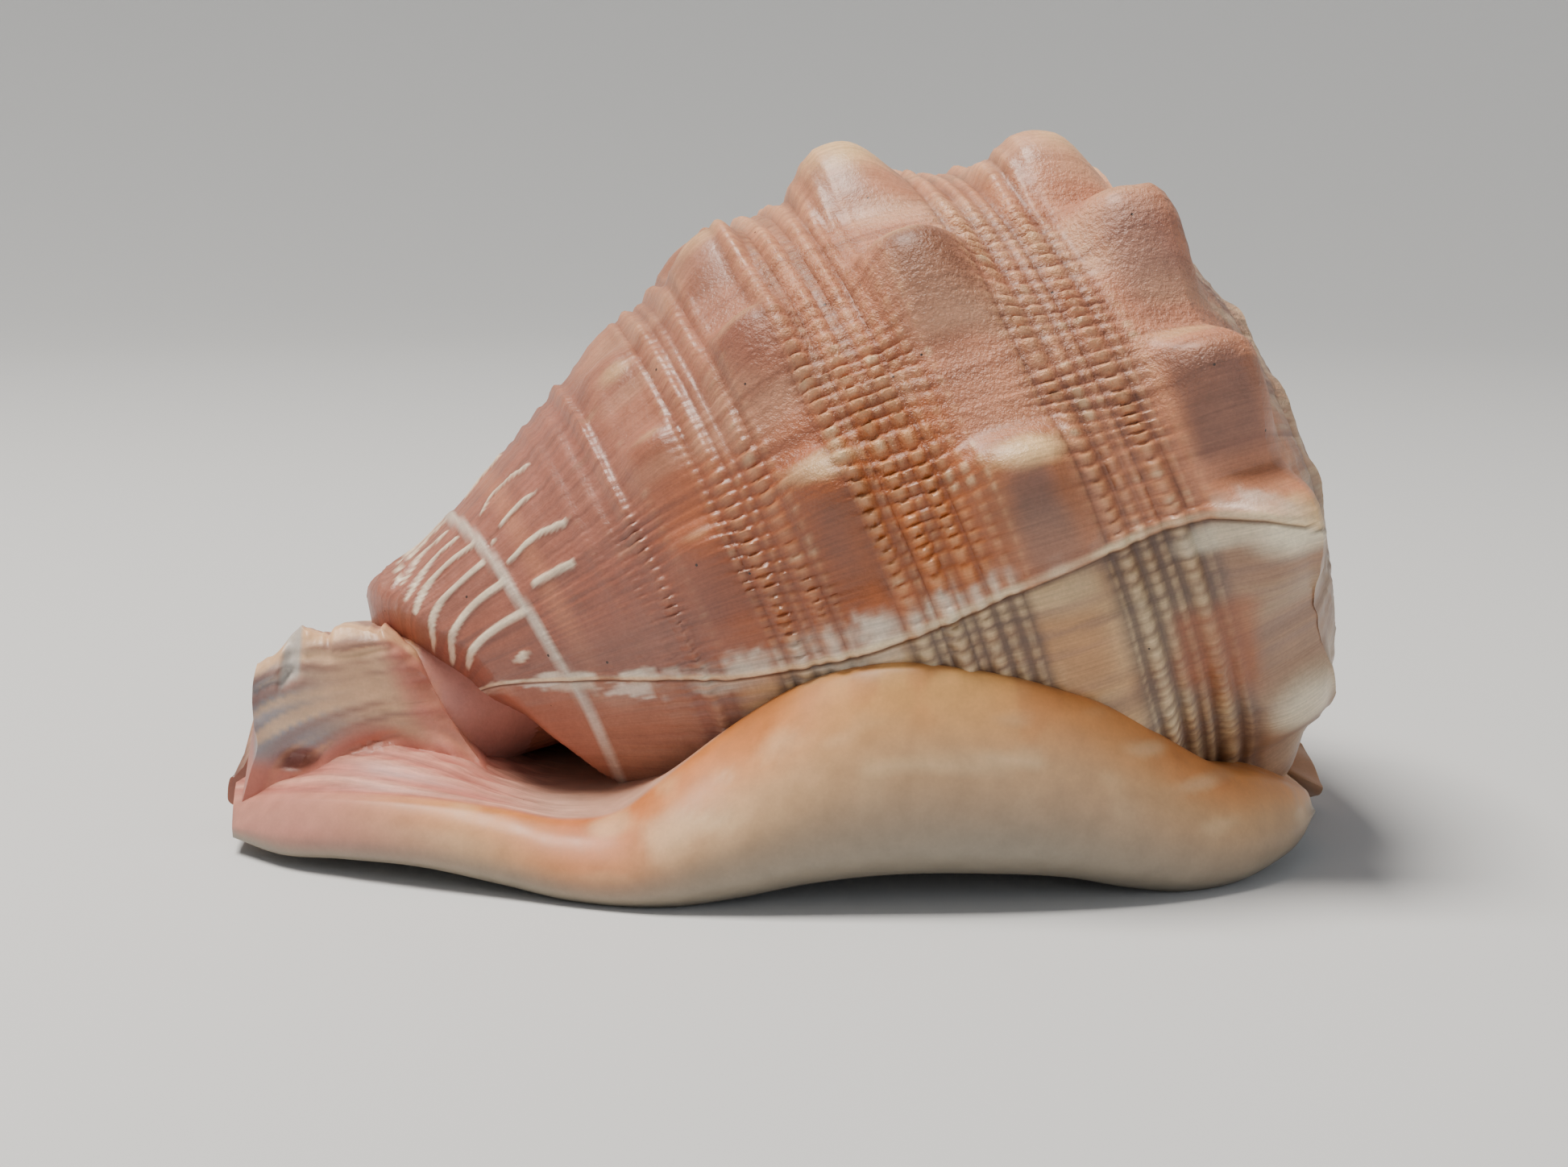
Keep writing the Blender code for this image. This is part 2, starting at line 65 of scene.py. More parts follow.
# %% Numbers of the growth
AXIS_TILT = math.radians(16.0)
AXIS_POINT = np.array([58.0, 0.0, 44.0])
ALONG = np.array([math.cos(AXIS_TILT), 0.0, math.sin(AXIS_TILT)])
UPWARD = np.array([-math.sin(AXIS_TILT), 0.0, math.cos(AXIS_TILT)])
SIDEWAYS = np.array([0.0, -1.0, 0.0])
WIDENING = 0.071
SHOULDER_RADIUS = 43.0
APEX_HEIGHT = 8.6
SPIRE_DROP = 12.6
SPIRE_CLOSING = 0.212
RING_LEAN = 0.08
RAMP_SWELL = 0.28
SPIRE_TURNS = 4.0
LIP_ANGLE = -140.0
TURN = 359.0
WHORL_PROFILE = [
    (0, 43), (8, 46.2), (16, 47.6), (28, 49.8), (42.6, 49.2), (51, 46.5), (60, 42.3),
    (73, 35.2), (88.5, 25.2), (97, 20.2), (101, 17.6), (101.8, 12),
]
# Knobs, each as turn angle, distance from the shoulder and height
KNOBS = [
    (8, 4.5, 6.4), (30.5, -1, 7.0), (61.5, -1, 6.2), (89, -0.5, 6.4), (128, 3.0, 3.2), (155, 8, 3.8),
    (-20, 3, 3), (-45, 2, 6), (-71, 1, 7), (-97, 0, 6.5), (-123, 0, 6),
    (2, 31, 6.6), (34, 29.5, 6.4), (71, 28.5, 4.4), (92, 28.5, 1.4), (118, 29, 2.5),
    (-24, 28, 5.5), (-50, 28, 6), (-76, 28, 5.5), (-102, 28, 5),
    (4.5, 51, 3.9), (33.5, 51, 3.9), (63, 51.2, 3.4), (87, 52, 0.8),
    (-22, 51, 3), (-48, 51, 3), (-74, 51, 3), (-100, 51, 2.5),
    (12, 68, 1.6), (41, 67.5, 1.8), (64.5, 67, 1.6), (84, 66.5, 0.5),
    (-6, 66, 1.2), (-32, 66, 1.2), (-58, 66, 1.2), (-84, 66, 1.0),
]
KNOB_HALF_WIDTHS = [(0, 9.0, 9.0), (29, 9.3, 9.5), (51, 7.2, 8.0), (66, 5.2, 6.0)]
# The scar of a halt in growth, as (distance from the shoulder, turn angle)
SCAR = [
    (-3, 92), (4, 87.5), (10, 85), (15, 84.5), (21, 85), (28, 86), (36, 87), (41, 88), (46, 89), (55, 90.5),
    (61, 91), (71, 90.5), (80, 87), (89, 82), (96.4, 77), (102, 74),
]
# Where the last whorl ends and the neck begins, as (turn angle, distance from the shoulder)
WHORL_END = [
    (-40, 101.8), (40, 101.0), (57, 98.6), (67, 97.6), (76, 97.4), (85, 96.7), (94, 95.4), (103, 94.2),
    (113, 92.2),
    (121, 90.7), (127, 88.8), (145, 85), (175, 82), (219, 82),
]
BELLY_HEIGHT = 6.0
GROUND = -1.7
# About the radius of the last whorl at its scar where it is widest. It turns an angle into rough
# millimetres of arc, too many of them towards the canal, where the whorl is narrower.
ARC_RADIUS = 45.0

# %% [markdown]
# On the real shell, spiral cords stand in bands between the rows of knobs, white strokes stand at
# the canal end, and brown patches lie behind the knobs. They could be painted on a picture, but tables of
# places keep them sharp at any size. Each cord has its distance from the shoulder, half width,
# height, and how strongly it is beaded where the cross ribs climb over it.

# %% Cords, ribs and white marks
CORDS = [
    (9.2, 0.5, 0.15, 0.5), (11.4, 0.6, 0.30, 0.6), (14.0, 1.15, 1.05, 1.0), (16.5, 0.55, 0.30, 0.6),
    (18.7, 0.8, 0.55, 0.9), (21.4, 1.1, 1.00, 1.0), (23.6, 0.5, 0.20, 0.5), (33.2, 0.5, 0.15, 0.5),
    (35.3, 0.6, 0.30, 0.6), (37.4, 0.7, 0.45, 0.8), (39.7, 0.95, 0.85, 1.0), (41.7, 0.5, 0.30, 0.6),
    (43.5, 1.1, 1.05, 1.0), (45.5, 0.5, 0.30, 0.6), (47.6, 1.1, 1.00, 1.0), (55.4, 0.6, 0.30, 0.7),
    (57.5, 1.0, 0.75, 1.0), (59.7, 0.55, 0.30, 0.7), (61.8, 1.0, 0.75, 1.0), (64.0, 0.55, 0.30, 0.7),
    (70.4, 0.5, 0.25, 0.4), (73.4, 0.9, 0.70, 0.8), (76.2, 0.55, 0.35, 0.6), (79.0, 0.6, 0.46, 0.5),
    (83.0, 0.4, 0.20, 0.3),
]
RIBS_PER_TURN = 165
# White strokes at the canal end: places as (turn angle, distance), and the half width
STROKES = [
    ([(-16, 98), (6, 100.3), (14, 101)], 0.45), ([(7, 93), (6.5, 97), (15.8, 100.5)], 0.45),
    ([(16, 92.2), (15.2, 95.5), (20.8, 99), (25.2, 101)], 0.5),
    ([(25, 91), (23.5, 94.5), (25.5, 97.8), (31.3, 100.2), (33.8, 101)], 0.6),
    ([(34.5, 91), (34.8, 94.2), (36.5, 97.5), (40.5, 99.5), (45.8, 100.8)], 0.7),
    ([(45.2, 90), (45.2, 93), (47, 96), (51, 98.5), (55.5, 100)], 0.8),
    ([(57.2, 89.5), (57.2, 92.2), (58.2, 95.2), (60.5, 97.5), (62.8, 98.8)], 0.85),
    ([(69.6, 92.2), (70.6, 93)], 0.9), ([(16.5, 81), (14, 83.5), (12.8, 86.2), (15.8, 88)], 0.45),
    ([(27.2, 82), (26.3, 84.2), (27, 86.8)], 0.6), ([(41.8, 80), (40, 82.8), (39.2, 85),
    (40.2, 87.2)], 0.7),
    ([(52.4, 81.8), (51.8, 84), (51.2, 86.5)], 0.85), ([(30.2, 88.4), (30.4, 88.6)], 0.5),
    ([(40.2, 88), (40.4, 88.2)], 0.5), ([(-6, 83), (-8, 86), (-5, 88.5)], 0.5), ([(-20, 82),
    (-22, 86)], 0.5),
    ([(-3, 92), (-4, 95), (0, 98)], 0.45), ([(-13, 92), (-14, 95), (-10, 98.5)], 0.45),
    ([(-24, 91.5), (-25, 95), (-21, 98.5)], 0.5), ([(-36, 91.5), (-37, 95), (-33, 98.5)], 0.5),
    ([(-50, 91.5), (-51, 95), (-47, 98.5)], 0.6), ([(-64, 91), (-65, 95), (-61, 98.5)], 0.6),
    ([(-80, 91), (-81, 95), (-77, 98.5)], 0.6),
]
# The white cord, with strokes on both sides of it: places as (turn angle, distance)
WHITE_CORD = [
    (-140, 92.5), (-20, 91.8), (3.7, 91.2), (19.5, 90.5), (35, 89.8), (49, 89.5), (60, 89), (110, 88.2),
    (200, 88),
]
# Brown patches behind the knobs: first and last turn angle, first and last distance, colour, strength
PATCHES = [
    (57, 84, 47.0, 56.5, "#94552f", 0.95), (66, 78, 50.0, 54.0, "#6d4c3e", 0.6),
    (66, 84, 24.0, 35.0, "#8f5c41", 0.8), (70, 82, 27.0, 32.0, "#68524c", 0.7),
    (32, 46, 24.5, 33.5, "#7d5747", 0.85), (31, 43, 49.5, 56.0, "#85594a", 0.8),
    (58, 78, -2.0, 8.0, "#76564c", 0.85), (33, 50, -2.0, 7.0, "#84635c", 0.6),
    (39, 50, 64.5, 71.0, "#8a543c", 0.7), (64, 84, 63.5, 70.5, "#7d4e3c", 0.8),
    (17, 26, 64.5, 70.0, "#8a5f50", 0.6), (100, 118, 8.0, 19.0, "#9a5c40", 0.6),
    (4, 18, 29.0, 36.0, "#8a6658", 0.5), (8, 20, 49.0, 55.0, "#8a6658", 0.5),
    (-16, -4, -1.0, 8.0, "#7d5747", 0.8), (-40, -26, -1.0, 8.0, "#7d5340", 0.8),
    (-66, -50, -2.0, 7.0, "#7d5340", 0.8),
    (-92, -76, -2.0, 7.0, "#7d5340", 0.8), (-120, -102, -2.0, 7.0, "#7d5340", 0.8),
    (-20, -8, 24.0, 34.0, "#8f5c41", 0.7), (-46, -33, 24.0, 34.0, "#7d5747", 0.8),
    (-72, -59, 24.0, 34.0, "#8f5c41", 0.8), (-98, -85, 24.0, 34.0, "#7d5747", 0.8),
    (-130, -112, 24.0, 34.0, "#8f5c41", 0.8),
    (-18, -8, 47.0, 56.0, "#8f5c41", 0.7), (-44, -32, 47.0, 56.0, "#7d5747", 0.8),
    (-70, -58, 47.0, 56.0, "#8f5c41", 0.8), (-96, -84, 47.0, 56.0, "#7d5747", 0.8),
    (-126, -112, 47.0, 56.0, "#8f5c41", 0.8),
    (76, 90, 26.0, 33.0, "#7c645a", 0.5),
]
# Cream marks on crests: turn angle, distance, half length round the turn and half width in mm, strength
CREAMS = [
    (60.0, 50.5, 2.4, 5.8, 1.0), (3, 30, 6.0, 7.0, 0.8), (8, 3, 5.0, 6.0, 0.45), (3, 51, 5.0, 5.0, 0.6),
    (17.5, 67, 2.0, 2.8, 0.8), (21.5, 72, 1.0, 1.5, 0.8), (31, 75.2, 0.8, 1.5, 0.8),
    (56.2, 75, 1.0, 1.6, 0.9),
    (30.5, 30, 2.2, 5.0, 0.45), (25, 25.5, 1.0, 1.5, 0.4), (68.0, 27.5, 2.4, 6.5, 0.85),
    (30.5, 52, 1.8, 4.0, 0.4),
    (54.5, 3.0, 1.4, 6.0, 0.4), (38.5, 67, 1.0, 2.5, 0.5), (61, 67, 0.9, 2.2, 0.4),
    (28.5, 1.5, 2.0, 5.0, 0.25),
    (91, 84.0, 3.0, 2.6, 0.7), (90, 0.5, 4.0, 7.0, 1.0), (88.5, 10, 2.0, 6.0, 0.7), (128, 4, 5.0, 6.0, 0.8),
    (-21, 2, 4.0, 6.0, 0.7), (-46, 1, 4.0, 6.0, 0.7), (-72, 0, 4.0, 6.0, 0.7), (-98, 0, 4.0, 6.0, 0.7),
    (-124, 0, 4.0, 6.0, 0.7), (-25, 28, 4.0, 6.0, 0.6), (-51, 28, 4.0, 6.0, 0.6), (-77, 28, 4.0, 6.0, 0.6),
    (-103, 28, 4.0, 6.0, 0.6), (-22, 51, 3.0, 5.0, 0.6), (-48, 51, 3.0, 5.0, 0.6), (-74, 51, 3.0, 5.0, 0.6),
    (-100, 51, 3.0, 5.0, 0.6),
]


def spline(points, count):
    """Points evenly spread along a Catmull-Rom curve through the given ones."""
    points = np.array(points, float)
    ends = np.vstack([2 * points[0] - points[1], points, 2 * points[-1] - points[-2]])
    t = np.linspace(0, len(points) - 1, count)
    i = np.clip(t.astype(int), 0, len(points) - 2)
    f = (t - i)[:, None]
    p0, p1, p2, p3 = ends[i], ends[i + 1], ends[i + 2], ends[i + 3]
    return 0.5 * (2 * p1 + (p2 - p0) * f + (2 * p0 - 5 * p1 + 4 * p2 - p3) * f**2
                  + (3 * p1 - p0 - 3 * p2 + p3) * f**3)


def smooth_through(x, table):
    """Smooth value at x of a table of (x, value) pairs, without overshoot."""
    knots = np.array(table, float)
    xs, ys = knots[:, 0], knots[:, 1]
    slopes = np.gradient(ys, xs)
    x = np.clip(x, xs[0], xs[-1])
    i = np.clip(np.searchsorted(xs, x) - 1, 0, len(xs) - 2)
    h = xs[i + 1] - xs[i]
    f = (x - xs[i]) / h
    return (ys[i] * (1 + 2 * f) * (1 - f) ** 2 + slopes[i] * h * f * (1 - f) ** 2
            + ys[i + 1] * (3 - 2 * f) * f**2 - slopes[i + 1] * h * (1 - f) * f**2)


def bump(x, half_width):
    """A round hump from 1 at x = 0 to 0 at the half width."""
    return np.where(np.abs(x) < half_width, (1 - (x / half_width) ** 2) ** 2, 0.0)


def rise_between(x, low, high):
    """Smoothly from 0 at low to 1 at high."""
    f = np.clip((x - low) / (high - low), 0, 1)
    return f * f * (3 - 2 * f)


def noise(points, size, seed=0):
    """Smooth random values from 0 to 1, changing over the given size, for an array of points."""
    p = np.asarray(points, float) / size + 37.7 * seed
    cell = np.floor(p).astype(np.int64)
    f = p - cell
    f = f * f * (3 - 2 * f)
    total = np.zeros(p.shape[:-1])
    for corner in range(2 ** p.shape[-1]):
        bits = np.array([(corner >> axis) & 1 for axis in range(p.shape[-1])])
        c = cell + bits
        mixed = c[..., 0] * 374761393 + c[..., 1] * 668265263
        if p.shape[-1] == 3:
            mixed = mixed + c[..., 2] * 2147483647
        mixed = (mixed ^ (mixed >> 13)) * 1274126177 & 0xFFFFFFFF
        value = ((mixed ^ (mixed >> 16)) & 0xFFFF) / 65535.0
        total += value * np.prod(np.where(bits == 1, f, 1 - f), axis=-1)
    return total


def widening(angle):
    """Size of the shell at a turn angle, as a share of its size at angle 0."""
    return np.exp(-WIDENING * angle)


def shoulder_place(angle):
    """Place of the shoulder ring along the axis at a turn angle, for every whorl."""
    height = np.cos(angle)
    lean = RING_LEAN * SHOULDER_RADIUS * widening(angle) * height * (0.55 + 0.45 * np.tanh(3 * height))
    return APEX_HEIGHT - SPIRE_DROP * np.exp(-SPIRE_CLOSING * angle) - lean


def shell_point(angle, place, radius):
    """Point at a turn angle, a place along the axis and a radius, in millimetres."""
    around = np.cos(angle)[..., None] * UPWARD + np.sin(angle)[..., None] * SIDEWAYS
    return AXIS_POINT + place[..., None] * ALONG + radius[..., None] * around


def scar_angle(distance):
    """Turn angle of the scar at a distance from the shoulder."""
    return np.radians(np.interp(distance, *np.array(SCAR).T))


# %% [markdown]
# ## Relief of the whorl
#
# Everything that stands up from the whorl is a height at a turn angle and a distance: knobs,
# beaded cords, cross ribs, growth lines, the white ridges and the scar. They are real shape in the
# mesh and not only bump in the material, because they show in the outline and catch the light.

# %% Relief
PROFILE = spline(WHORL_PROFILE, 600)
print("relief:", len(KNOBS), "knobs,", len(CORDS), "cords,", len(STROKES), "white strokes")


def flat_bump(x, power):
    """A hump from 1 at x = 0 to 0 at 1, with a flatter top for a higher power."""
    return np.where(np.abs(x) < 1, (1 - np.minimum(np.abs(x), 1) ** power) ** 2, 0.0)


def knob_height(angle, distance):
    """Height of the knobs: each rises steeply on its younger side and runs out on its older one."""
    height = np.zeros(np.broadcast(angle, distance).shape)
    rows, across, along = np.array(KNOB_HALF_WIDTHS).T
    for turn, row, rise in KNOBS:
        centre = math.radians(turn)
        radius = np.interp(max(row, 0), *PROFILE.T) * widening(centre)
        arc = (angle - centre) * radius / np.interp(row, rows, along)
        round_it = np.where(arc > 0, flat_bump(arc / 1.5, 1.9), flat_bump(arc / 0.78, 2.3))
        step = (distance - row) / np.interp(row, rows, across)
        if row < 10:
            step = np.where(step > 0, step / 1.3, step / 0.68)
        height = np.maximum(height, rise * flat_bump(step, 2.6) * round_it)
    return height


def cord_backs(distance):
    """1 on the backs of the main cords, less on the fine ones, 0 between them."""
    back = np.zeros_like(distance)
    for place, width, rise, _ in CORDS:
        back = np.maximum(back, min(1.0, 0.35 + 0.75 * rise) * bump(distance - place, 1.25 * width))
    return back


def beside_cords(distance):
    """1 in the dark troughs on both sides of the main cords."""
    beside = np.zeros_like(distance)
    for place, width, rise, _ in CORDS:
        if rise > 0.45:
            for side in (-1.55, 1.55):
                beside = np.maximum(beside, min(1.0, rise) * bump(distance - place - side * width, 0.75))
    return beside


def rib_wave(angle, distance):
    """The cross ribs, 1 on their backs and 0 in the pits; steeper on the older side, bent by the cords."""
    wander = 1.5 * noise(np.stack([angle * 8.0, distance / 14.0], axis=-1), 1.0, 3)
    phase = angle * RIBS_PER_TURN + math.tau * wander - 1.2 * cord_backs(distance)
    return np.clip(0.5 + 0.5 * (np.cos(phase) - 0.3 * np.sin(2 * phase)) / 1.1, 0, 1) ** 0.75


def rib_strength(angle, distance):
    """How strong the ribs are: most on the viewer's side of the back, each band at its own turn."""
    turn = np.degrees(angle)
    upper = rise_between(turn, 10, 32) * (1 - 0.8 * rise_between(turn, 56, 78))
    middle = rise_between(turn, 30, 48) * (1 - 0.75 * rise_between(turn, 62, 80))
    lower = 0.75 * rise_between(turn, 40, 56) * (1 - 0.5 * rise_between(turn, 78, 90))
    strength = np.where(distance < 29, upper, np.where(distance < 51, middle, lower))
    spots = noise(np.stack([angle * 9.0, distance / 4.0], axis=-1), 1.0, 11)
    return (0.2 + 0.8 * strength) * (0.25 + 1.3 * spots)


def in_cord_bands(distance):
    """1 in the bands of cords, 0 between them."""
    band = np.zeros_like(distance)
    for low, high in ((10.5, 24.2), (34.5, 49.0), (55.0, 64.8), (70.5, 76.0)):
        band = np.maximum(band, rise_between(distance, low - 1.5, low + 0.5)
                          * (1 - rise_between(distance, high - 0.5, high + 1.5)))
    return band


def cord_height(angle, distance):
    """Cords with their beads, the ribs between them, and the fine threads beside them."""
    wave = rib_wave(angle, distance)
    strength = rib_strength(angle, distance)
    height = np.zeros(np.broadcast(angle, distance).shape)
    for place, width, rise, beads in CORDS:
        swell = 0.6 + 0.7 * noise(np.stack([angle * 12.0, np.full_like(angle, place)], axis=-1), 1.0, 12)
        cord = bump(distance - place, 1.3 * width)
        height = height + rise * swell * cord * (1 - 0.85 * beads * np.clip(1.2 * strength, 0, 1)
                                                 * (1 - wave))
    height = height + 0.35 * in_cord_bands(distance) * strength * (wave - 0.6)
    height = height - 0.22 * beside_cords(distance)
    threads = np.cos(math.tau * distance / 1.5) * rise_between(distance, 64,
                                                               70) * (1 - rise_between(distance, 86, 90))
    plain = (1 - in_cord_bands(distance)) * rise_between(distance, 49,
                                                         53) * (1 - rise_between(distance, 86, 90))
    return height + 0.07 * threads + 0.12 * plain * strength * (wave - 0.5)


def growth_lines(angle, distance):
    """Fine lines of growth across the turn."""
    where = np.stack([angle * 60.0, distance / 25.0], axis=-1)
    fine = noise(where, 1.0, 5) - 0.5
    where = np.stack([angle * 22.0, distance / 40.0], axis=-1)
    broad = noise(where, 1.0, 6) - 0.5
    return 0.16 * fine + 0.35 * broad


def stroke_marks(angle, distance):
    """The white strokes at the canal end, from 0 beside them to 1 on their middle."""
    shape = np.broadcast(angle, distance).shape
    mark = np.zeros(shape)
    for places, half in STROKES:
        line = spline([(math.radians(turn), d) for turn, d in places], 12)
        radius = float(np.interp(line[:, 1].mean(), *PROFILE.T))
        low, high = line.min(axis=0) - (0.12, 2.5), line.max(axis=0) + (0.12, 2.5)
        near = (angle > low[0]) & (angle < high[0]) & (distance > low[1]) & (distance < high[1])
        near = np.broadcast_to(near, shape)
        x = np.broadcast_to(angle, shape)[near] * radius
        y = np.broadcast_to(distance, shape)[near]
        best = np.full(x.shape, 9.0)
        for (a0, d0), (a1, d1) in zip(line[:-1], line[1:]):
            ux, uy = (a1 - a0) * radius, d1 - d0
            f = np.clip(((x - a0 * radius) * ux + (y - d0) * uy) / (ux * ux + uy * uy + 1e-9), 0, 1)
            best = np.minimum(best, np.hypot(x - a0 * radius - f * ux, y - d0 - f * uy))
        mark[near] = np.maximum(mark[near], 1 - rise_between(best, 0.15 * half, 1.15 * half))
    return mark


def white_cord(angle, distance):
    """The white cord, from 0 beside it to 1 on its back."""
    place = np.interp(np.degrees(angle), *np.array(WHITE_CORD).T)
    return (1 - rise_between(np.abs(distance - place), 0.25, 0.85)) * (1 - 0.5
                                                                       * rise_between(angle, 1.45, 2.2))


def white_ridges(angle, distance):
    """The white strokes and the white cord, whichever is the higher."""
    return np.maximum(stroke_marks(angle, distance), white_cord(angle, distance))


def scar_height(angle, distance):
    """The raised edge of the younger shell, and the older shell a little lower beside it."""
    arc = (angle - scar_angle(distance)) * ARC_RADIUS
    older = np.where(arc > 0, np.clip(1 - arc / 25.0, 0, 1), 0.0)
    ragged = 0.5 * (noise(np.stack([angle * 0, distance / 1.3], axis=-1), 1.0, 8) - 0.5)
    edge = bump(arc + 0.75 + ragged, 1.3)
    return (0.45 * edge - 0.5 * older * rise_between(arc + ragged, -0.1,
                                                     0.5)) * (1 - 0.8 * rise_between(distance, 82, 90))


def whorl_relief(angle, distance):
    """Height of all the relief of the last whorl together."""
    older = rise_between((angle - scar_angle(distance)) * ARC_RADIUS, 0.0, 1.0)
    height = knob_height(angle, distance) + scar_height(angle, distance)
    height = height + cord_height(angle, distance) * (1 - 0.25 * older)
    height = height + 0.4 * white_ridges(angle, distance)
    return height + 0.5 * growth_lines(angle, distance)


def whorl_row(angle, distance):
    """One row of the last whorl, as the columns of a sheet: turn, place, radius, age and relief."""
    profile = np.interp(distance, *PROFILE.T)
    radius = profile * widening(angle)
    end = np.interp(np.degrees(angle), *np.array(WHORL_END).T)
    narrow = (radius - np.minimum(radius, 9.0)) * rise_between(distance, end - 0.6, end
                                                               + 3.5) * (end < 101.5)
    stretch = 3.4 * rise_between(distance, 95.0, 101.8) * bump(angle + 0.1, 1.0)
    fade = np.clip((102 - distance) / 2.0, 0, 1)
    place = shoulder_place(angle) - distance - stretch
    return np.column_stack([angle, place, profile, angle, whorl_relief(angle, distance) * fade - narrow])


def spire_row(angle, turns_in):
    """One row of the spire, on the ramp from the shoulder in, over earlier and earlier whorls."""
    whole = np.floor(turns_in)
    part = turns_in - whole
    older = angle + math.tau * whole
    outer, inner = shoulder_place(older), shoulder_place(older + math.tau)
    age = angle + math.tau * turns_in
    swell = RAMP_SWELL * SHOULDER_RADIUS * widening(age + math.tau) * part * (1 - part)
    knobs = knob_height(angle, -24.0 * part)
    first = whole < 1
    knobs = np.where(first, knobs, 0.3 * knobs * rise_between(part, 0.0, 0.12) * np.exp(-0.5 * whole))
    lines = growth_lines(angle + 6.0 * whole, -24.0 * part) * np.exp(-whole)
    threads = 0.16 * np.cos(part * math.tau
                            * 8) * rise_between(part, 0.1, 0.25) * (1 - rise_between(part, 0.85, 1.0))
    seam = -0.5 * bump(part - 0.985, 0.05) * np.exp(-0.4 * whole)
    place = outer + (inner - outer) * part + swell + np.where(first, 0.3, 1.0) * knobs + 0.8 * lines
    place = place + threads * np.exp(-0.6 * whole) + seam
    profile = np.full(len(angle), SHOULDER_RADIUS)
    return np.column_stack([angle, place, profile, age, np.where(first, 0.95, 0.0) * knobs])


# %% [markdown]
# ## Meshes from rings
#
# Apart from plain blocks, the forms here run along a line, so each is a skin through closed rings,
# ended in two poles. A closed skin is needed, because the forms are joined and cut as solids later.

# %% Skins and lofts


def add(tree, kind, settings=None, **inputs):
    """Adds one node; an input is given by name, or by number as i0, as a value or as an output."""
    node = tree.nodes.new(kind)
    for name, value in (settings or {}).items():
        setattr(node, name, value)
    for name, value in inputs.items():
        numbered = name[0] == "i" and name[1:].isdigit()
        socket = node.inputs[int(name[1:]) if numbered else name.replace("_", " ")]
        if isinstance(value, bpy.types.NodeSocket):
            tree.links.new(value, socket)
        else:
            socket.default_value = value
    return node


def skin(rings, first_pole, last_pole):
    """Vertices and faces of a closed mesh through closed rings, ended in two poles."""
    count, rows = len(rings[0]), len(rings)
    vertices = np.concatenate([[first_pole], *rings, [last_pole]])
    index = 1 + np.arange(rows * count).reshape(rows, count)
    after = np.roll(index, -1, axis=1)
    quads = np.stack([index[:-1], index[1:], after[1:], after[:-1]], axis=-1).reshape(-1, 4)
    first = np.stack([np.zeros(count, int), index[0], after[0]], axis=-1)
    last = np.stack([after[-1], index[-1], np.full(count, len(vertices) - 1)], axis=-1)
    return vertices, [*first.tolist(), *quads.tolist(), *last.tolist()]


def closed_loop(points, count):
    """Points along a smooth closed curve through the given ones."""
    points = np.array(points, float)
    n = len(points)
    t = np.arange(count) * n / count
    i = t.astype(int)
    f = (t - i)[:, None]
    p0, p1, p2, p3 = points[i - 1], points[i], points[(i + 1) % n], points[(i + 2) % n]
    return 0.5 * (2 * p1 + (p2 - p0) * f + (2 * p0 - 5 * p1 + 4 * p2 - p3) * f**2
                  + (3 * p1 - p0 - 3 * p2 + p3) * f**3)


# Points closer than this, in metres, are one point
SAME_POINT = 0.000002


def tidy_mesh(mesh):
    """Merges doubled points and turns the faces outwards."""
    b = bmesh.new()
    b.from_mesh(mesh)
    bmesh.ops.remove_doubles(b, verts=b.verts, dist=SAME_POINT)
    bmesh.ops.recalc_face_normals(b, faces=b.faces)
    b.to_mesh(mesh)
    b.free()


def mesh_object(name, vertices, faces, material):
    """A mesh object in metres, in the frame of the solid, with its faces turned outwards."""
    mesh = bpy.data.meshes.new(name)
    mesh.from_pydata(((np.asarray(vertices) + SHIFT) * MM).tolist(), [], faces)
    mesh.update()
    tidy_mesh(mesh)
    mesh.materials.append(material)
    obj = bpy.data.objects.new(name, mesh)
    bpy.context.scene.collection.objects.link(obj)
    return obj


def loft(name, stations, section, points_round, material, place=None, relief=None):
    """A closed loft: section(s) gives the (y, z) loop of station s, place(s, z) its X."""
    rings = []
    for station in stations:
        loop = closed_loop(section(station), points_round)
        if relief is not None:
            loop = relief(station, loop)
        x = np.full(len(loop), station) if place is None else place(station, loop[:, 1])
        rings.append(np.column_stack([x, loop]))
    return mesh_object(name, *skin(rings, rings[0].mean(axis=0), rings[-1].mean(axis=0)), material)


def spread(stretches):
    """Values over stretches, each given as start, end and step."""
    values = []
    for start, end, step in stretches:
        values.extend(np.linspace(start, end, max(2, round((end - start) / step) + 1))[:-1])
    return np.array(values + [stretches[-1][1]])


# %% [markdown]
# ## Rolling up the whorls
#
# The spire and the last whorl follow one rule, so they start as one flat sheet. A column is a turn
# angle. A row is a distance from the shoulder on the last whorl, and a share of turns further in on
# the spire. Geometry nodes shrink each point by its age, lay its
# relief on it, roll it round the axis and tilt the axis. The rows lie close together where the
# cords are and wide over the plain bands, and the columns are closest on the side that is looked at.

# %% The growth sheet and its nodes
ROWS = spread([
    (0, 9, 0.9), (9, 24, 0.45), (24, 31, 0.9), (31, 49, 0.45), (49, 54, 0.9), (54, 66, 0.45), (66, 71, 0.9),
    (71, 76, 0.45), (76, 88, 0.7), (88, 99, 0.6), (99, 101.8, 0.4),
])
COLUMNS = np.radians(spread([
    (LIP_ANGLE, -28, 1.4), (-28, 8, 0.8), (8, 84, 0.5), (84, 96, 0.4), (96, 130, 0.7),
    (130, LIP_ANGLE + TURN, 1.6),
]))


def column_angles(distance):
    """Turn angles of the mesh columns, pulled so that one of them follows the scar."""
    quarter = math.radians(90)
    pull = bump((COLUMNS - quarter) / math.radians(30), 1.0)
    return COLUMNS + pull * (scar_angle(distance) - quarter)


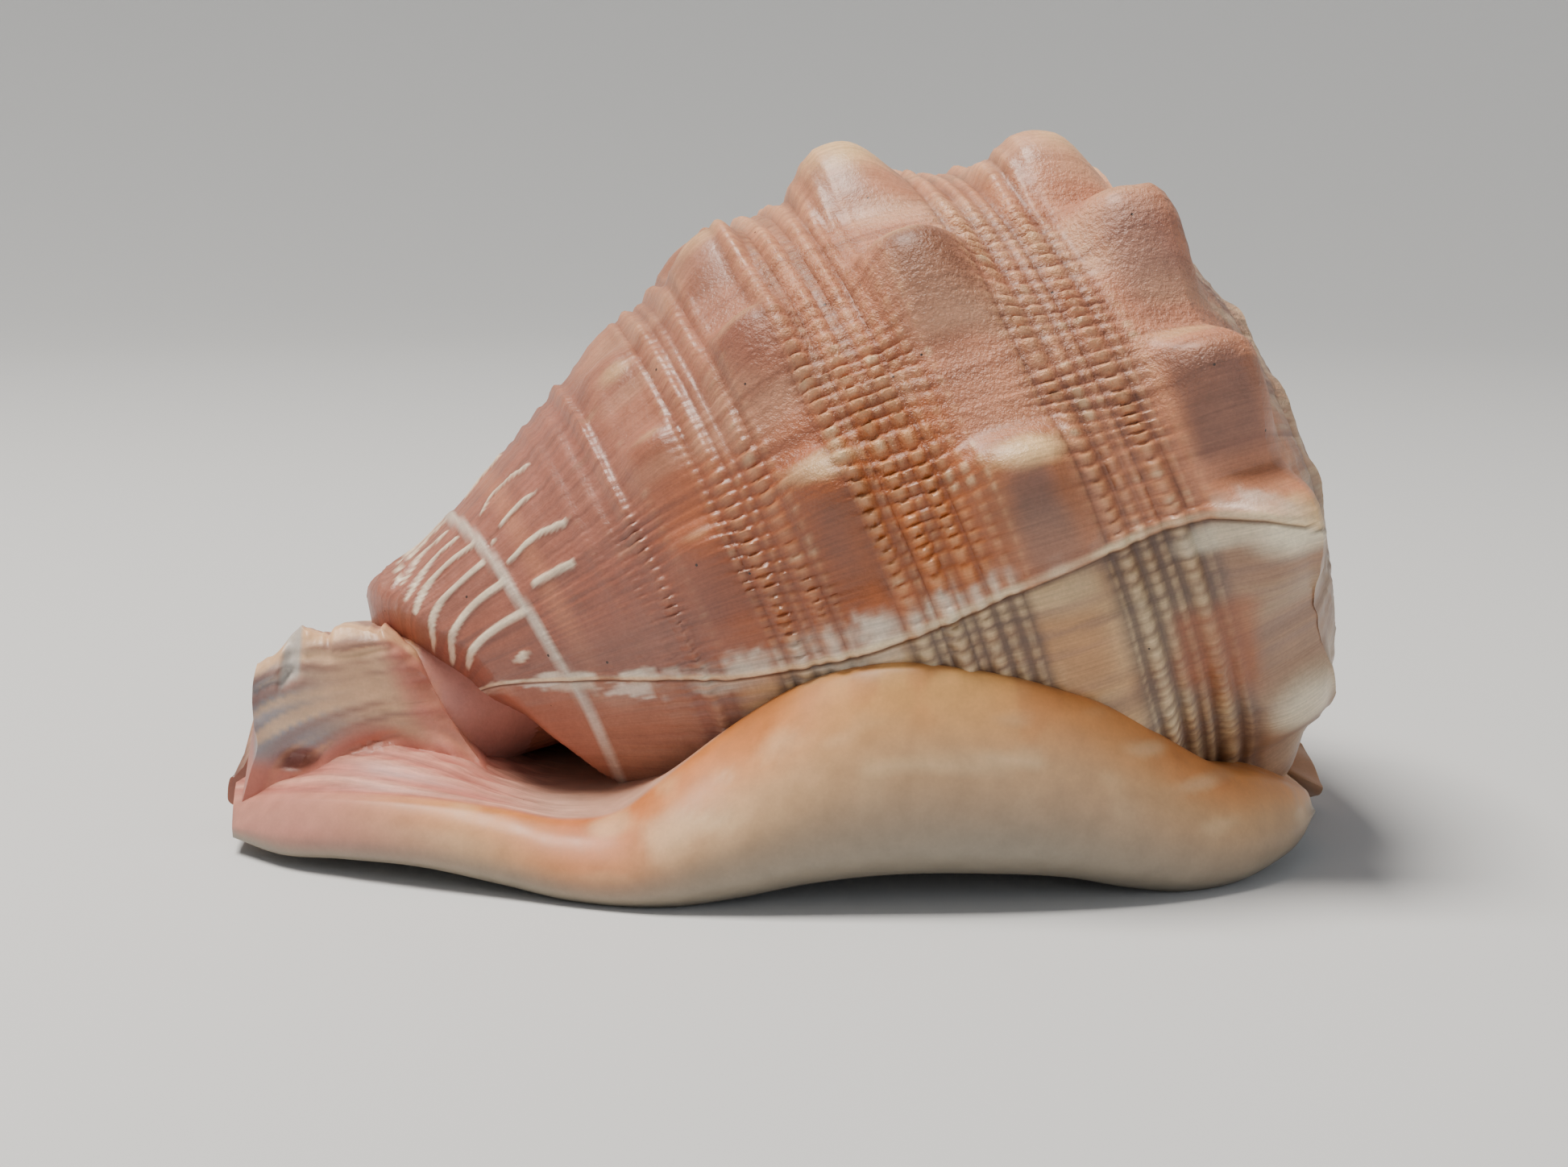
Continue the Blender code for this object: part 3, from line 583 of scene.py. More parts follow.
def growth_sheet():
    """The whorls unrolled: points (turn, place, radius), faces, and the age and relief of every point."""
    rows = []
    plain = column_angles(0.0)
    grown = (COLUMNS - COLUMNS[0]) / math.tau
    for turns in spread([(0, 1, 0.05), (1, 2, 0.08), (2, SPIRE_TURNS, 0.25)])[:0:-1]:
        rows.append(spire_row(plain, np.maximum(turns - grown, 0.0)))
    for distance in ROWS:
        rows.append(whorl_row(column_angles(distance), np.full(len(COLUMNS), distance)))
    apex = np.array([0.0, APEX_HEIGHT + 0.8, 0.0, 0.0, 0.0])
    end = np.array([0.0, rows[-1][:, 1].mean(), 0.0, 0.0, 0.0])
    sheet, faces = skin(rows, apex, end)
    return sheet[:, :3], faces, sheet[:, 3], sheet[:, 4]


def growth_tree():
    """Geometry nodes that roll the sheet up: each turn shrinks by the widening, round a tilted axis."""
    tree = bpy.data.node_groups.new("grow the whorls", "GeometryNodeTree")
    inputs = [("Geometry", "Geometry"), ("Widening", "Float"), ("Axis tilt", "Float"),
              ("Axis point", "Vector"),
              ("Scale", "Float"), ("Material", "Material")]
    for name, kind in inputs:
        tree.interface.new_socket(name, in_out="INPUT", socket_type="NodeSocket" + kind)
    tree.interface.new_socket("Geometry", in_out="OUTPUT", socket_type="NodeSocketGeometry")
    given = add(tree, "NodeGroupInput").outputs
    flat_place = add(tree, "GeometryNodeInputPosition").outputs["Position"]
    sheet = add(tree, "ShaderNodeSeparateXYZ", Vector=flat_place).outputs
    age = add(tree, "GeometryNodeInputNamedAttribute", Name="age").outputs["Attribute"]
    relief = add(tree, "GeometryNodeInputNamedAttribute", Name="relief").outputs["Attribute"]

    # Older shell is smaller, by the same share for every turn
    times, plus = {"operation": "MULTIPLY"}, {"operation": "ADD"}
    grown = add(tree, "ShaderNodeMath", times, i0=age, i1=given["Widening"]).outputs["Value"]
    back = add(tree, "ShaderNodeMath", times, i0=grown, i1=-1.0).outputs["Value"]
    shrunk = add(tree, "ShaderNodeMath", {"operation": "EXPONENT"}, i0=back, i1=0.0).outputs["Value"]
    smooth = add(tree, "ShaderNodeMath", times, i0=sheet["Z"], i1=shrunk).outputs["Value"]
    radius = add(tree, "ShaderNodeMath", plus, i0=smooth, i1=relief).outputs["Value"]
    # Rolled round the axis
    cosine = add(tree, "ShaderNodeMath", {"operation": "COSINE"}, i0=sheet["X"], i1=0.0).outputs["Value"]
    sine = add(tree, "ShaderNodeMath", {"operation": "SINE"}, i0=sheet["X"], i1=0.0).outputs["Value"]
    up = add(tree, "ShaderNodeMath", times, i0=radius, i1=cosine).outputs["Value"]
    side = add(tree, "ShaderNodeMath", times, i0=radius, i1=sine).outputs["Value"]
    near = add(tree, "ShaderNodeMath", times, i0=side, i1=-1.0).outputs["Value"]
    rolled = add(tree, "ShaderNodeCombineXYZ", X=sheet["Y"], Y=near, Z=up).outputs["Vector"]
    # Tilted, stood in its place and turned from millimetres to metres
    tilt = add(tree, "ShaderNodeMath", times, i0=given["Axis tilt"], i1=-1.0).outputs["Value"]
    turned = {"rotation_type": "Y_AXIS"}
    tilted = add(tree, "ShaderNodeVectorRotate", turned, Vector=rolled, Angle=tilt).outputs["Vector"]
    stood = add(tree, "ShaderNodeVectorMath", plus, i0=tilted, i1=given["Axis point"]).outputs["Vector"]
    scaled = {"operation": "SCALE"}
    place = add(tree, "ShaderNodeVectorMath", scaled, Vector=stood, Scale=given["Scale"]).outputs["Vector"]
    moved = add(tree, "GeometryNodeSetPosition", Geometry=given["Geometry"],
                Position=place).outputs["Geometry"]
    real = add(tree, "GeometryNodeRealizeInstances", Geometry=moved).outputs["Geometry"]
    done = add(tree, "GeometryNodeSetMaterial", Geometry=real,
               Material=given["Material"]).outputs["Geometry"]
    add(tree, "NodeGroupOutput", Geometry=done)
    return tree


def whorl_solid(material):
    """The spire and the last whorl as one closed mesh, rolled up from the flat sheet."""
    points, faces, age, relief = growth_sheet()
    sheet = bpy.data.meshes.new("growth sheet")
    sheet.from_pydata(points.tolist(), [], faces)
    sheet.attributes.new("age", "FLOAT", "POINT").data.foreach_set("value", age)
    sheet.attributes.new("relief", "FLOAT", "POINT").data.foreach_set("value", relief)
    whorl = bpy.data.objects.new("whorl", sheet)
    bpy.context.scene.collection.objects.link(whorl)
    modifier = whorl.modifiers.new("growth", "NODES")
    modifier.node_group = growth_tree()
    values = {"Widening": WIDENING, "Axis tilt": AXIS_TILT, "Axis point": (AXIS_POINT + SHIFT).tolist(),
              "Scale": MM, "Material": material}
    for socket in modifier.node_group.interface.items_tree:
        if socket.in_out == "INPUT" and socket.name in values:
            modifier[socket.identifier] = values[socket.name]
    graph = bpy.context.evaluated_depsgraph_get()
    mesh = bpy.data.meshes.new_from_object(whorl.evaluated_get(graph))
    whorl.modifiers.clear()
    whorl.data = mesh
    for name in ("age", "relief"):
        mesh.attributes.remove(mesh.attributes[name])
    tidy_mesh(mesh)
    return whorl


# %% [markdown]
# ## Shield, lip, canal and mouth
#
# The shield is a callus that the animal spread beside its mouth, the lip is the thick rim of the
# last growth, and the canal and neck carried its siphon. They don't follow the turn, so they are
# lofts along the shell through sections at many places. Most tables are the solid's. The flange's
# upper side and the canal's top are this script's own.

# %% Tables of the shield, the slit and the lip
SHIELD_MARGIN = [
    (-72, -12), (-66, -19.3), (-58, -25), (-48, -31), (-38, -36.5), (-30, -41), (-22, -44.5), (-12, -46.5),
    (0, -47.8), (18, -49), (30, -48.5), (40, -46.8), (48, -44), (56, -39), (62, -32), (66, -24),
]
SHIELD_LOW = [
    (-72, 0.3), (-66, -0.2), (-58, 0.3), (-48, 0.4), (-38, -0.8), (-30, -1.9), (-24, -2.1), (-17, -1.9),
    (-10, -0.8), (-2, 0.8), (8, 1.9), (20, 1.8), (30, 0.9), (38, -0.9), (44, -2.0), (51, -2.0), (57, -0.8),
    (62, 0.8), (66, 3.2),
]
SHIELD_EDGE_Y = [
    (-72, -8), (-66, -15), (-58, -21.5), (-48, -27), (-38, -31.5), (-30, -34.5), (-24, -36), (-18, -36),
    (-11, -34.5), (-2, -38), (8, -42), (18, -44), (28, -43.6), (38, -41), (44, -38.5), (50, -37),
    (56, -33), (62, -27), (66, -20),
]
SHIELD_EDGE_Z = [
    (-72, 4.5), (-66, 6.4), (-58, 7.8), (-48, 8.4), (-38, 8.0), (-30, 7.2), (-24, 8.2), (-18, 12.5),
    (-11, 17.5), (-2, 24), (8, 27.4), (18, 26.8), (28, 24.3), (38, 20), (44, 16.0), (50, 12.5),
    (56, 10.5), (62, 7.5), (66, 5.0),
]
SHIELD_INNER_Z = [
    (-72, 5.5), (-66, 8), (-58, 12), (-50, 13), (-44, 11.8), (-38, 9.0), (-32, 7.2), (-26, 7.2), (-20, 8),
    (-10, 9.5), (0, 12), (30, 14), (46, 10), (60, 8), (66, 5),
]
SLIT_MIDDLE = [
    (-76, 0), (-58, 3), (-45, 9), (-30, 16), (-12, 22), (10, 27), (35, 27), (52, 22), (62, 14),
    (66, 2), (68.5, -6), (71.5, -9),
]
SLIT_HALF_WIDTH = [(-72, 2.5), (-58, 3.0), (-45, 3.5), (-20, 4.5), (10, 5), (35, 5), (52, 4), (64, 2.0)]
WALL = 4.5
WHORL_BEFORE = 0.68
HOLLOW_START = -118.0
HOLLOW_END = 175.0
TOOTH_HEIGHT = 1.3
TOOTH_PITCH = 6.0
LIP_MARGIN = [
    (-75.5, 2.5), (-73, 5), (-66, 13), (-56, 21.5), (-45, 30), (-32, 39.5), (-18, 48), (-2, 55.5),
    (14, 59.5), (30, 59), (44, 54), (56, 45), (63, 36), (67, 26), (70, 13.5), (71.5, 5),
]
LIP_LOW = [
    (-75.5, 1.0), (-70, 0.6), (-60, 1.0), (-40, 0.6), (-20, -0.8), (0, -2.0), (20, -2.1), (34, -1.6),
    (50, -0.4), (58, 0), (66, -1.2), (71.5, -1.4),
]
LIP_EDGE_Z = [
    (-75.5, 3), (-74, 4.2), (-72.3, 5.5), (-71, 9), (-69.8, 13.5), (-60, 14), (-40, 15.5),
    (-20, 19), (0, 21.5), (20, 21.5), (40, 19.5), (56, 16.5), (63, 13), (67, 10), (70, 7.5), (71.5, 6),
]


def shield_section(x):
    """Loop of the shield at x: up its outside, over the edge, and back through the whorl."""
    margin, low = smooth_through(x, SHIELD_MARGIN), smooth_through(x, SHIELD_LOW)
    edge_y, edge_z = smooth_through(x, SHIELD_EDGE_Y), smooth_through(x, SHIELD_EDGE_Z)
    inner = smooth_through(x, SHIELD_INNER_Z)
    slit = smooth_through(x, SLIT_MIDDLE) - 0.4 * smooth_through(x, SLIT_HALF_WIDTH)
    floor, reach, back = low, slit - margin, slit - edge_y
    return [
        (margin + 0.15 * reach, floor), (margin + 0.07 * reach, floor + 0.05),
        (margin + 0.4, 0.8 * floor + 0.15 * edge_z), (margin, 0.4 * floor + 0.42 * edge_z),
        (0.62 * margin + 0.38 * edge_y, 0.74 * edge_z), (0.2 * margin + 0.8 * edge_y, 0.94 * edge_z),
        (edge_y + 0.02 * back, edge_z), (edge_y + 0.10 * back, 0.85 * edge_z + 0.15 * inner),
        (edge_y + 0.28 * back, 0.3 * edge_z + 0.7 * inner), (edge_y + 0.55 * back, inner),
        (edge_y + 0.85 * back, 0.4 * inner + 4.5), (slit, 5.0), (slit - 0.07 * reach, 2.2),
        (margin + 0.65 * reach, 1.2), (margin + 0.35 * reach, 0.5 * floor + 0.3),
    ]


def flange_lines(x, y):
    """Fine ridges on the upper side of the flange, along its edge, from -1 to 1."""
    inward = y - smooth_through(x, SHIELD_EDGE_Y)
    bent = inward + 0.5 * np.sin(x / 8.0) + 0.5 * noise(np.stack([x / 20.0, inward / 6.0], axis=-1),
                                                        1.0, 25)
    fine = 0.3 * np.cos(math.tau * bent / 1.9 + 1.0)
    return (np.cos(math.tau * bent / 3.6)
            + fine) * (0.6 + 0.4 * noise(np.stack([x / 20.0, inward / 1.9], axis=-1), 1.0, 26))


def flange_part(x, y, z):
    """1 on the upper side of the flange below the canal, 0 elsewhere."""
    inward = y - smooth_through(x, SHIELD_EDGE_Y)
    return rise_between(inward, 0.4, 2.5) * (1 - rise_between(x, -34, -24)) * (z > 4)


def flange_ridges(x, loop):
    """Lays the flange's ridges on its upper side, and a few dents on its outside."""
    place = np.arange(len(loop)) / len(loop) * 15
    upper = rise_between(place, 6.4, 7.0) * (1 - rise_between(place, 10.5, 11.5))
    reach = rise_between(x, -70, -64) * (1 - rise_between(x, -34, -26))
    loop = loop.copy()
    loop[:, 1] += 0.24 * upper * reach * flange_lines(np.full(len(loop), float(x)), loop[:, 0])
    return loop


def lip_section(x):
    """Loop of the lip at x: out along the floor, round its margin, and back into the whorl."""
    margin = smooth_through(x, LIP_MARGIN)
    low = smooth_through(x, LIP_LOW)
    rise = smooth_through(x, LIP_EDGE_Z)
    slit = smooth_through(x, SLIT_MIDDLE) + 0.4 * smooth_through(x, SLIT_HALF_WIDTH)
    slit = min(slit, margin - 4)
    span = margin - slit
    return [
        (margin - 0.22 * span, low), (margin - 0.34 * span, low + 0.2),
        (slit + 0.3 * span, 0.5 * low + 1.0), (slit + 0.1 * span, min(2.2, 0.2 * rise)),
        (slit, min(5.0, 0.4 * rise)), (slit + 0.12 * span, 0.5 * rise),
        (slit + 0.35 * span, rise * 0.75), (margin - 0.35 * span, rise * 0.9),
        (margin - 0.16 * span, rise), (margin - 0.05 * span, 0.8 * rise),
        (margin, 0.45 * rise), (margin - 0.03 * span, 0.16 * rise + 0.7 * low),
        (margin - 0.12 * span, low + 0.1),
    ]


# %% [markdown]
# ## Canal and neck
#
# The canal is the upturned channel at the left end, and the neck lies between it and the last whorl.
# One swept tube could stand for them, but the canal's broken rim and its pit need tables of their
# own, so both are lofts through sections.

# %% Tables of the canal and the neck
CANAL_LEFT = [(4, -71), (9, -69.5), (12, -68.6), (15, -69.0), (20, -69.0), (24, -68.0), (29, -66.5)]
CANAL_RIGHT = [(4, -36), (7.5, -38), (12.4, -42), (18.8, -45.9), (26.7, -49.8), (29, -51)]
CANAL_TOP = [(0, 21.8), (0.06, 22.6), (0.2, 26.0), (0.26, 26.8), (0.38, 26.4), (0.6, 27.2), (0.8, 27.0),
             (0.92, 26.2), (1.0, 24.0)]
CANAL_NEAR = [(0, -10.5), (0.3, -12.5), (0.7, -12.8), (0.9, -13.6), (1.0, -12.5)]
CANAL_FAR = [(0, 5), (0.4, 12), (0.7, 17), (1.0, 21)]
GROOVE_BACK = [(-4, -58), (4, -60), (10, -62), (18, -63.5), (26, -63.5), (34, -62)]
GROOVE_MIDDLE = [(-4, 0.5), (8, 0.0), (18, -2.0), (34, -4.0)]
NECK_RADIUS = [(-60, 9), (-54, 12), (-50, 13.2), (-44, 12.0), (-38, 10.0), (-32, 9.0), (-20, 9.0)]


def canal_place(station, z):
    """X of the canal at a station from its left end, 0, to its right end, 1, at height z."""
    left, right = smooth_through(z, CANAL_LEFT), smooth_through(z, CANAL_RIGHT)
    return left + station * (right - left)


def canal_section(station):
    """Loop of the turned-up canal, its near wall hollow and flaring to the flange below."""
    top = smooth_through(station, CANAL_TOP)
    near, far = smooth_through(station, CANAL_NEAR), smooth_through(station, CANAL_FAR)
    flare = float(rise_between(station, 0.05, 0.5))
    return [
        (near + 0.4 - 3.9 * flare, 5.5 + 2.5 * flare), (near + 0.2 - 2.0 * flare, 10.0 + flare),
        (near - 0.2, 15.0), (near + 0.5, 20.0), (near + 0.3, top - 2.5),
        (near + 1.3, top - 0.3), (near + 3.5, top), (0.5 * (near + far), top - 1.5), (far - 4.0, top - 4.0),
        (far - 1.0, top - 9.0), (far, 12.0), (far - 1.0, 6.0), (0.5 * (near + far), 3.5), (near + 1.5, 3.5),
    ]


def canal_lines(x, z):
    """The growth lines of the canal, crescents that rise to the right and turn down at its edge."""
    side = x + 47.0
    across = np.hypot(np.where(side < 0, side / 1.7, 1.2 * side), z - 5.0)
    along = np.where(side < 0, side, -2.0 * side)
    drift = noise(np.stack([across / 5.0, along / 9.0], axis=-1), 1.0, 23)
    broken = noise(np.stack([across / 1.7, along / 8.0], axis=-1), 1.0, 24)
    fine = noise(np.stack([across / 0.8, along / 9.0], axis=-1), 1.0, 27)
    waves = 0.5 * np.cos(math.tau * (across / 2.1 + 1.1 * drift))
    return 0.5 * waves * broken + 0.6 * (fine - 0.5) * (0.4 + broken)


def canal_pit(x, z):
    """The small deep pit low on the canal, 1 in its middle."""
    return np.exp(-(((x + 63.4 - 0.5 * (z - 10.6)) / 2.3) ** 2 + ((z - 10.6) / 1.25) ** 2) ** 1.5)


def canal_relief(station, loop):
    """The broken rim of the canal, the flat chip beside it, its pit and its growth lines."""
    loop = loop.copy()
    top = smooth_through(station, CANAL_TOP)
    upper = rise_between(loop[:, 1], top - 4.0, top - 0.5)
    jag = noise(np.array([[station * 12.0, 0.3]]), 1.0, 21)[0]
    jag = jag + 0.5 * noise(np.array([[station * 30.0, 0.3]]), 1.0, 22)[0]
    loop[:, 1] -= 1.2 * upper * (jag - 0.7)
    near_side = 1 - rise_between(loop[:, 0], -8.0, -4.0)
    x = canal_place(station, loop[:, 1])
    chip = rise_between(loop[:, 1], top - 6.5, top - 4.5) * bump(station - 0.21, 0.09)
    loop[:, 0] += 1.9 * chip * near_side
    loop[:, 0] += 0.9 * near_side * bump(station - 0.05, 0.12) * bump(loop[:, 1] - 18.0, 5.0)
    belly = bump(station - 0.55, 0.5) * bump(loop[:, 1] - 18.5, 8.0)
    loop[:, 0] += near_side * (2.2 * canal_pit(x, loop[:, 1]) - 1.3 * belly - 0.8
                               * canal_lines(x, loop[:, 1]))
    return loop


def groove_solid(material):
    """The groove that carries the siphon from the mouth up and out at the left end."""
    rings = []
    for z in np.linspace(-4, 34, 24):
        back, middle = smooth_through(z, GROOVE_BACK), smooth_through(z, GROOVE_MIDDLE)
        loop = closed_loop([
            (-80, middle - 3.4), (back - 5, middle - 3.2), (back - 1, middle - 2.2), (back, middle),
            (back - 1, middle + 2.2), (back - 5, middle + 3.2), (-80, middle + 3.4),
        ], 40)
        rings.append(np.column_stack([loop, np.full(len(loop), z)]))
    return mesh_object("groove", *skin(rings, rings[0].mean(axis=0), rings[-1].mean(axis=0)), material)


def neck_section(x):
    """Loop of the smooth neck between the canal and the last whorl."""
    radius = smooth_through(x, NECK_RADIUS)
    middle = AXIS_POINT[2] + (x - AXIS_POINT[0]) * math.tan(AXIS_TILT)
    around = np.arange(12) * math.tau / 12
    return [(radius * math.cos(a), middle + radius * math.sin(a)) for a in around]


def hollow_solid(material, rows=60, columns=36):
    """The hollow inside the last whorl, coiling back from the mouth outside the whorl before."""
    angles = np.radians(np.linspace(HOLLOW_START, HOLLOW_END, rows))
    around = np.arange(columns) * math.tau / columns
    rings = []
    for i, angle in enumerate(angles):
        closing = math.sqrt(max(0.02, 1 - (i / (rows - 1)) ** 6))
        distance = 42 + 38 * closing * np.cos(around)
        outer = np.interp(distance, *PROFILE.T) * widening(angle)
        middle = ((1 + WHORL_BEFORE) * outer - WALL) / 2
        half = ((1 - WHORL_BEFORE) * outer - WALL) / 2 * closing
        where = np.full(columns, angle)
        rings.append(shell_point(where, shoulder_place(where) - distance, middle + half * np.sin(around)))
    return mesh_object("hollow", *skin(rings, rings[0].mean(axis=0), rings[-1].mean(axis=0)), material)


def slit_section(x):
    """Loop of the slit at x, leaning out to the hollow of the whorl, narrowed by the teeth."""
    middle, half = smooth_through(x, SLIT_MIDDLE), smooth_through(x, SLIT_HALF_WIDTH)
    teeth = TOOTH_HEIGHT * (0.5 + 0.5 * math.cos(math.tau * x / TOOTH_PITCH))
    teeth = teeth * float(rise_between(x, -54, -46) * (1 - rise_between(x, 46, 54)))
    near, far = middle - half + 0.6 * teeth, middle + half - teeth
    deep = float(bump(x - 22, 50))
    return [
        (near - 0.5, -6.0), (far + 0.5, -6.0), (far, 1.0), (far + 0.2, 5.0),
        (middle + half + 3.0 + 4.5 * deep, 11.0 + 2.0 * deep), (middle + 3.0 + 2.0 * deep, 13.0 + 3.0
                                                                * deep),
        (middle - half + 2.0, 9.5), (near, 5.0), (near, 1.0),
    ]


def block(name, x, y, z, material):
    """A plain box between two values on each axis."""
    corners = [(a, b, c) for a in x for b in y for c in z]
    faces = [(0, 1, 3, 2), (4, 6, 7, 5), (0, 4, 5, 1), (2, 3, 7, 6), (0, 2, 6, 4), (1, 5, 7, 3)]
    return mesh_object(name, corners, faces, material)


def join(target, other, operation):
    """Joins another solid to the target, or cuts it away, and removes the other."""
    modifier = target.modifiers.new(operation, "BOOLEAN")
    modifier.operation = operation
    modifier.solver = "MANIFOLD"
    modifier.material_mode = "TRANSFER"
    modifier.object = other
    graph = bpy.context.evaluated_depsgraph_get()
    mesh = bpy.data.meshes.new_from_object(target.evaluated_get(graph))
    target.modifiers.clear()
    target.data = mesh
    bpy.data.objects.remove(other)


# %% [markdown]
# ## Materials
#
# Shell is lime laid down in layers. The whorls are granular, the callus is waxy, and all of it
# looks oiled. The colour of every point is worked out further down and kept on the mesh as the
# colour attribute "tint". The attribute "grain" says how pitted the surface is, and "growth" where
# the fine lines run. The materials add the specks, the small pits, the fine lines and the gloss.

# %% Materials


def linear(code):
    """Linear colour from an sRGB hex code."""
    values = np.array([int(code[i:i + 2], 16) / 255 for i in (1, 3, 5)])
    return np.where(values <= 0.04045, values / 12.92, ((values + 0.055) / 1.055) ** 2.4)


def shell_finish(name, roughness, coat, pit_mm, pit_depth, speck, streak, pores):
    """A grown shell surface: tinted by its attribute, with specks, small pits and gloss."""
    material = bpy.data.materials.new(name)
    material.use_nodes = True
    tree = material.node_tree
    surface = tree.nodes["Principled BSDF"]
    place = add(tree, "ShaderNodeTexCoord").outputs["Object"]
    tint = add(tree, "ShaderNodeAttribute", {"attribute_name": "tint"}).outputs["Color"]
    grain = add(tree, "ShaderNodeAttribute", {"attribute_name": "grain"}).outputs["Fac"]
    # Fine growth lines: "growth" holds the way across and along them in millimetres, and their strength
    growth = add(tree, "ShaderNodeAttribute", {"attribute_name": "growth"}).outputs["Vector"]
    drawn = add(tree, "ShaderNodeVectorMath", {"operation": "MULTIPLY"}, i0=growth,
                i1=(2.6, 0.10, 0.0)).outputs["Vector"]
    lines = add(tree, "ShaderNodeTexNoise", Vector=drawn, Scale=1.0, Detail=3.0, Roughness=0.7)
    # Mottling a few millimetres wide, and specks under half a millimetre
    mottle = add(tree, "ShaderNodeTexNoise", Vector=place, Scale=320.0, Detail=5.0, Roughness=0.6)
    specks = add(tree, "ShaderNodeTexNoise", Vector=place, Scale=2600.0, Detail=2.0)
    shade = add(tree, "ShaderNodeMapRange", Value=mottle.outputs["Fac"], From_Min=0.3, From_Max=0.7,
                To_Min=0.9, To_Max=1.1).outputs["Result"]
    fine = add(tree, "ShaderNodeMapRange", Value=specks.outputs["Fac"], From_Min=0.3, From_Max=0.7,
               To_Min=1 - speck, To_Max=1 + speck).outputs["Result"]
    # The noise less its middle value makes the colour lighter or darker, most where the lines are clear
    clear = add(tree, "ShaderNodeSeparateXYZ", Vector=growth).outputs["Z"]
    drawn = add(tree, "ShaderNodeMath", {"operation": "SUBTRACT"}, i0=lines.outputs["Fac"],
                i1=0.5).outputs["Value"]
    drawn = add(tree, "ShaderNodeMath", {"operation": "MULTIPLY"}, i0=drawn, i1=clear).outputs["Value"]
    streaks = add(tree, "ShaderNodeMath", {"operation": "MULTIPLY_ADD"}, i0=drawn, i1=5 * streak,
                  i2=1.0).outputs["Value"]
    both = add(tree, "ShaderNodeMath", {"operation": "MULTIPLY"}, i0=shade, i1=fine).outputs["Value"]
    both = add(tree, "ShaderNodeMath", {"operation": "MULTIPLY"}, i0=both, i1=streaks).outputs["Value"]
    colour = add(tree, "ShaderNodeVectorMath", {"operation": "SCALE"}, Vector=tint, Scale=both)
    # A few dark grains caught in pores, each under half a millimetre wide
    cells = add(tree, "ShaderNodeTexVoronoi", Vector=place, Scale=1000.0 / 3.4)
    near = add(tree, "ShaderNodeMath", {"operation": "LESS_THAN"}, i0=cells.outputs["Distance"],
               i1=0.055).outputs["Value"]
    chosen = add(tree, "ShaderNodeSeparateColor", Color=cells.outputs["Color"]).outputs["Red"]
    chosen = add(tree, "ShaderNodeMath", {"operation": "LESS_THAN"}, i0=chosen, i1=pores).outputs["Value"]
    pore = add(tree, "ShaderNodeMath", {"operation": "MULTIPLY"}, i0=near, i1=chosen).outputs["Value"]
    dark = add(tree, "ShaderNodeMix", {"data_type": "RGBA"}, i0=pore, i6=colour.outputs["Vector"],
               i7=(0.05, 0.03, 0.025, 1.0))
    tree.links.new(dark.outputs[2], surface.inputs["Base Color"])
    # Pits and grains in the outer layer, which catch the light as sparkles
    pits = add(tree, "ShaderNodeTexNoise", Vector=place, Scale=1000.0 / pit_mm, Detail=3.0, Roughness=0.65)
    height = add(tree, "ShaderNodeMath", {"operation": "MULTIPLY"}, i0=pits.outputs["Fac"], i1=grain)
    relief = add(tree, "ShaderNodeBump", Height=height.outputs["Value"], Distance=pit_depth * MM,
                 Strength=1.0)
    tree.links.new(relief.outputs["Normal"], surface.inputs["Normal"])
    rough = add(tree, "ShaderNodeMapRange", Value=mottle.outputs["Fac"], From_Min=0.3, From_Max=0.7,
                To_Min=roughness - 0.07, To_Max=roughness + 0.07).outputs["Result"]
    tree.links.new(rough, surface.inputs["Roughness"])
    surface.inputs["Coat Weight"].default_value = coat
    surface.inputs["Coat Roughness"].default_value = 0.25
    surface.inputs["Subsurface Weight"].default_value = 0.06
    surface.inputs["Subsurface Radius"].default_value = (1.0, 0.45, 0.25)
    surface.inputs["Subsurface Scale"].default_value = 0.002
    return material


# The outer layer of the whorls: its deep small pits break a half gloss into small sparkles
outer_layer = shell_finish("granular outer layer", 0.44, 0.15, 0.75, 0.42, 0.07, 0.16, 0.22)
# The callus of the shield and the lip: wide shallow pits and little coat give a soft, waxy sheen
callus = shell_finish("waxy callus", 0.47, 0.06, 2.5, 0.05, 0.03, 0.28, 0.10)
# The canal and the neck: the roughest of the four, with fine grain and none of the fine lines
canal_layer = shell_finish("dull canal layer", 0.5, 0.1, 0.7, 0.1, 0.04, 0.0, 0.05)
# The lining of the hollow and the slit: the smoothest and glossiest of the four
lining = shell_finish("smooth lining", 0.28, 0.3, 3.0, 0.03, 0.02, 0.0, 0.0)

# %% [markdown]
# ## Growing the shell
#
# The real shell is one piece. Here the belly of the whorls is cut off level first, then the shield,
# lip, canal and neck are joined on, and then the hollow, the slit, the groove and what lies below
# the ground are cut away. The forms could be left overlapping, but a shell that is hollowed out
# needs one closed skin.

# %% Growing the shell
shell = whorl_solid(outer_layer)
print("whorl:", len(shell.data.vertices), "vertices")
join(shell, block("belly", (-90, 90), (-80, 80), (-60, BELLY_HEIGHT), outer_layer), "DIFFERENCE")
join(shell, loft("shield", np.linspace(-72, 66, 170), shield_section, 90, callus, relief=flange_ridges),
     "UNION")
join(shell, loft("lip", np.linspace(-75.5, 71.5, 112), lip_section, 48, callus), "UNION")
join(shell, loft("canal", np.linspace(0, 1, 72), canal_section, 108, canal_layer, canal_place,
                 canal_relief), "UNION")
join(shell, loft("neck", np.linspace(-60, -20, 30), neck_section, 48, canal_layer), "UNION")
join(shell, hollow_solid(lining), "DIFFERENCE")
join(shell, loft("slit", np.linspace(-64, 61, 170), slit_section, 24, lining), "DIFFERENCE")
join(shell, groove_solid(canal_layer), "DIFFERENCE")
join(shell, block("ground", (-90, 90), (-80, 80), (-60, GROUND), callus), "DIFFERENCE")
shell.name = shell.data.name = "helmet_shell_surface"
shell.data.calc_loop_triangles()
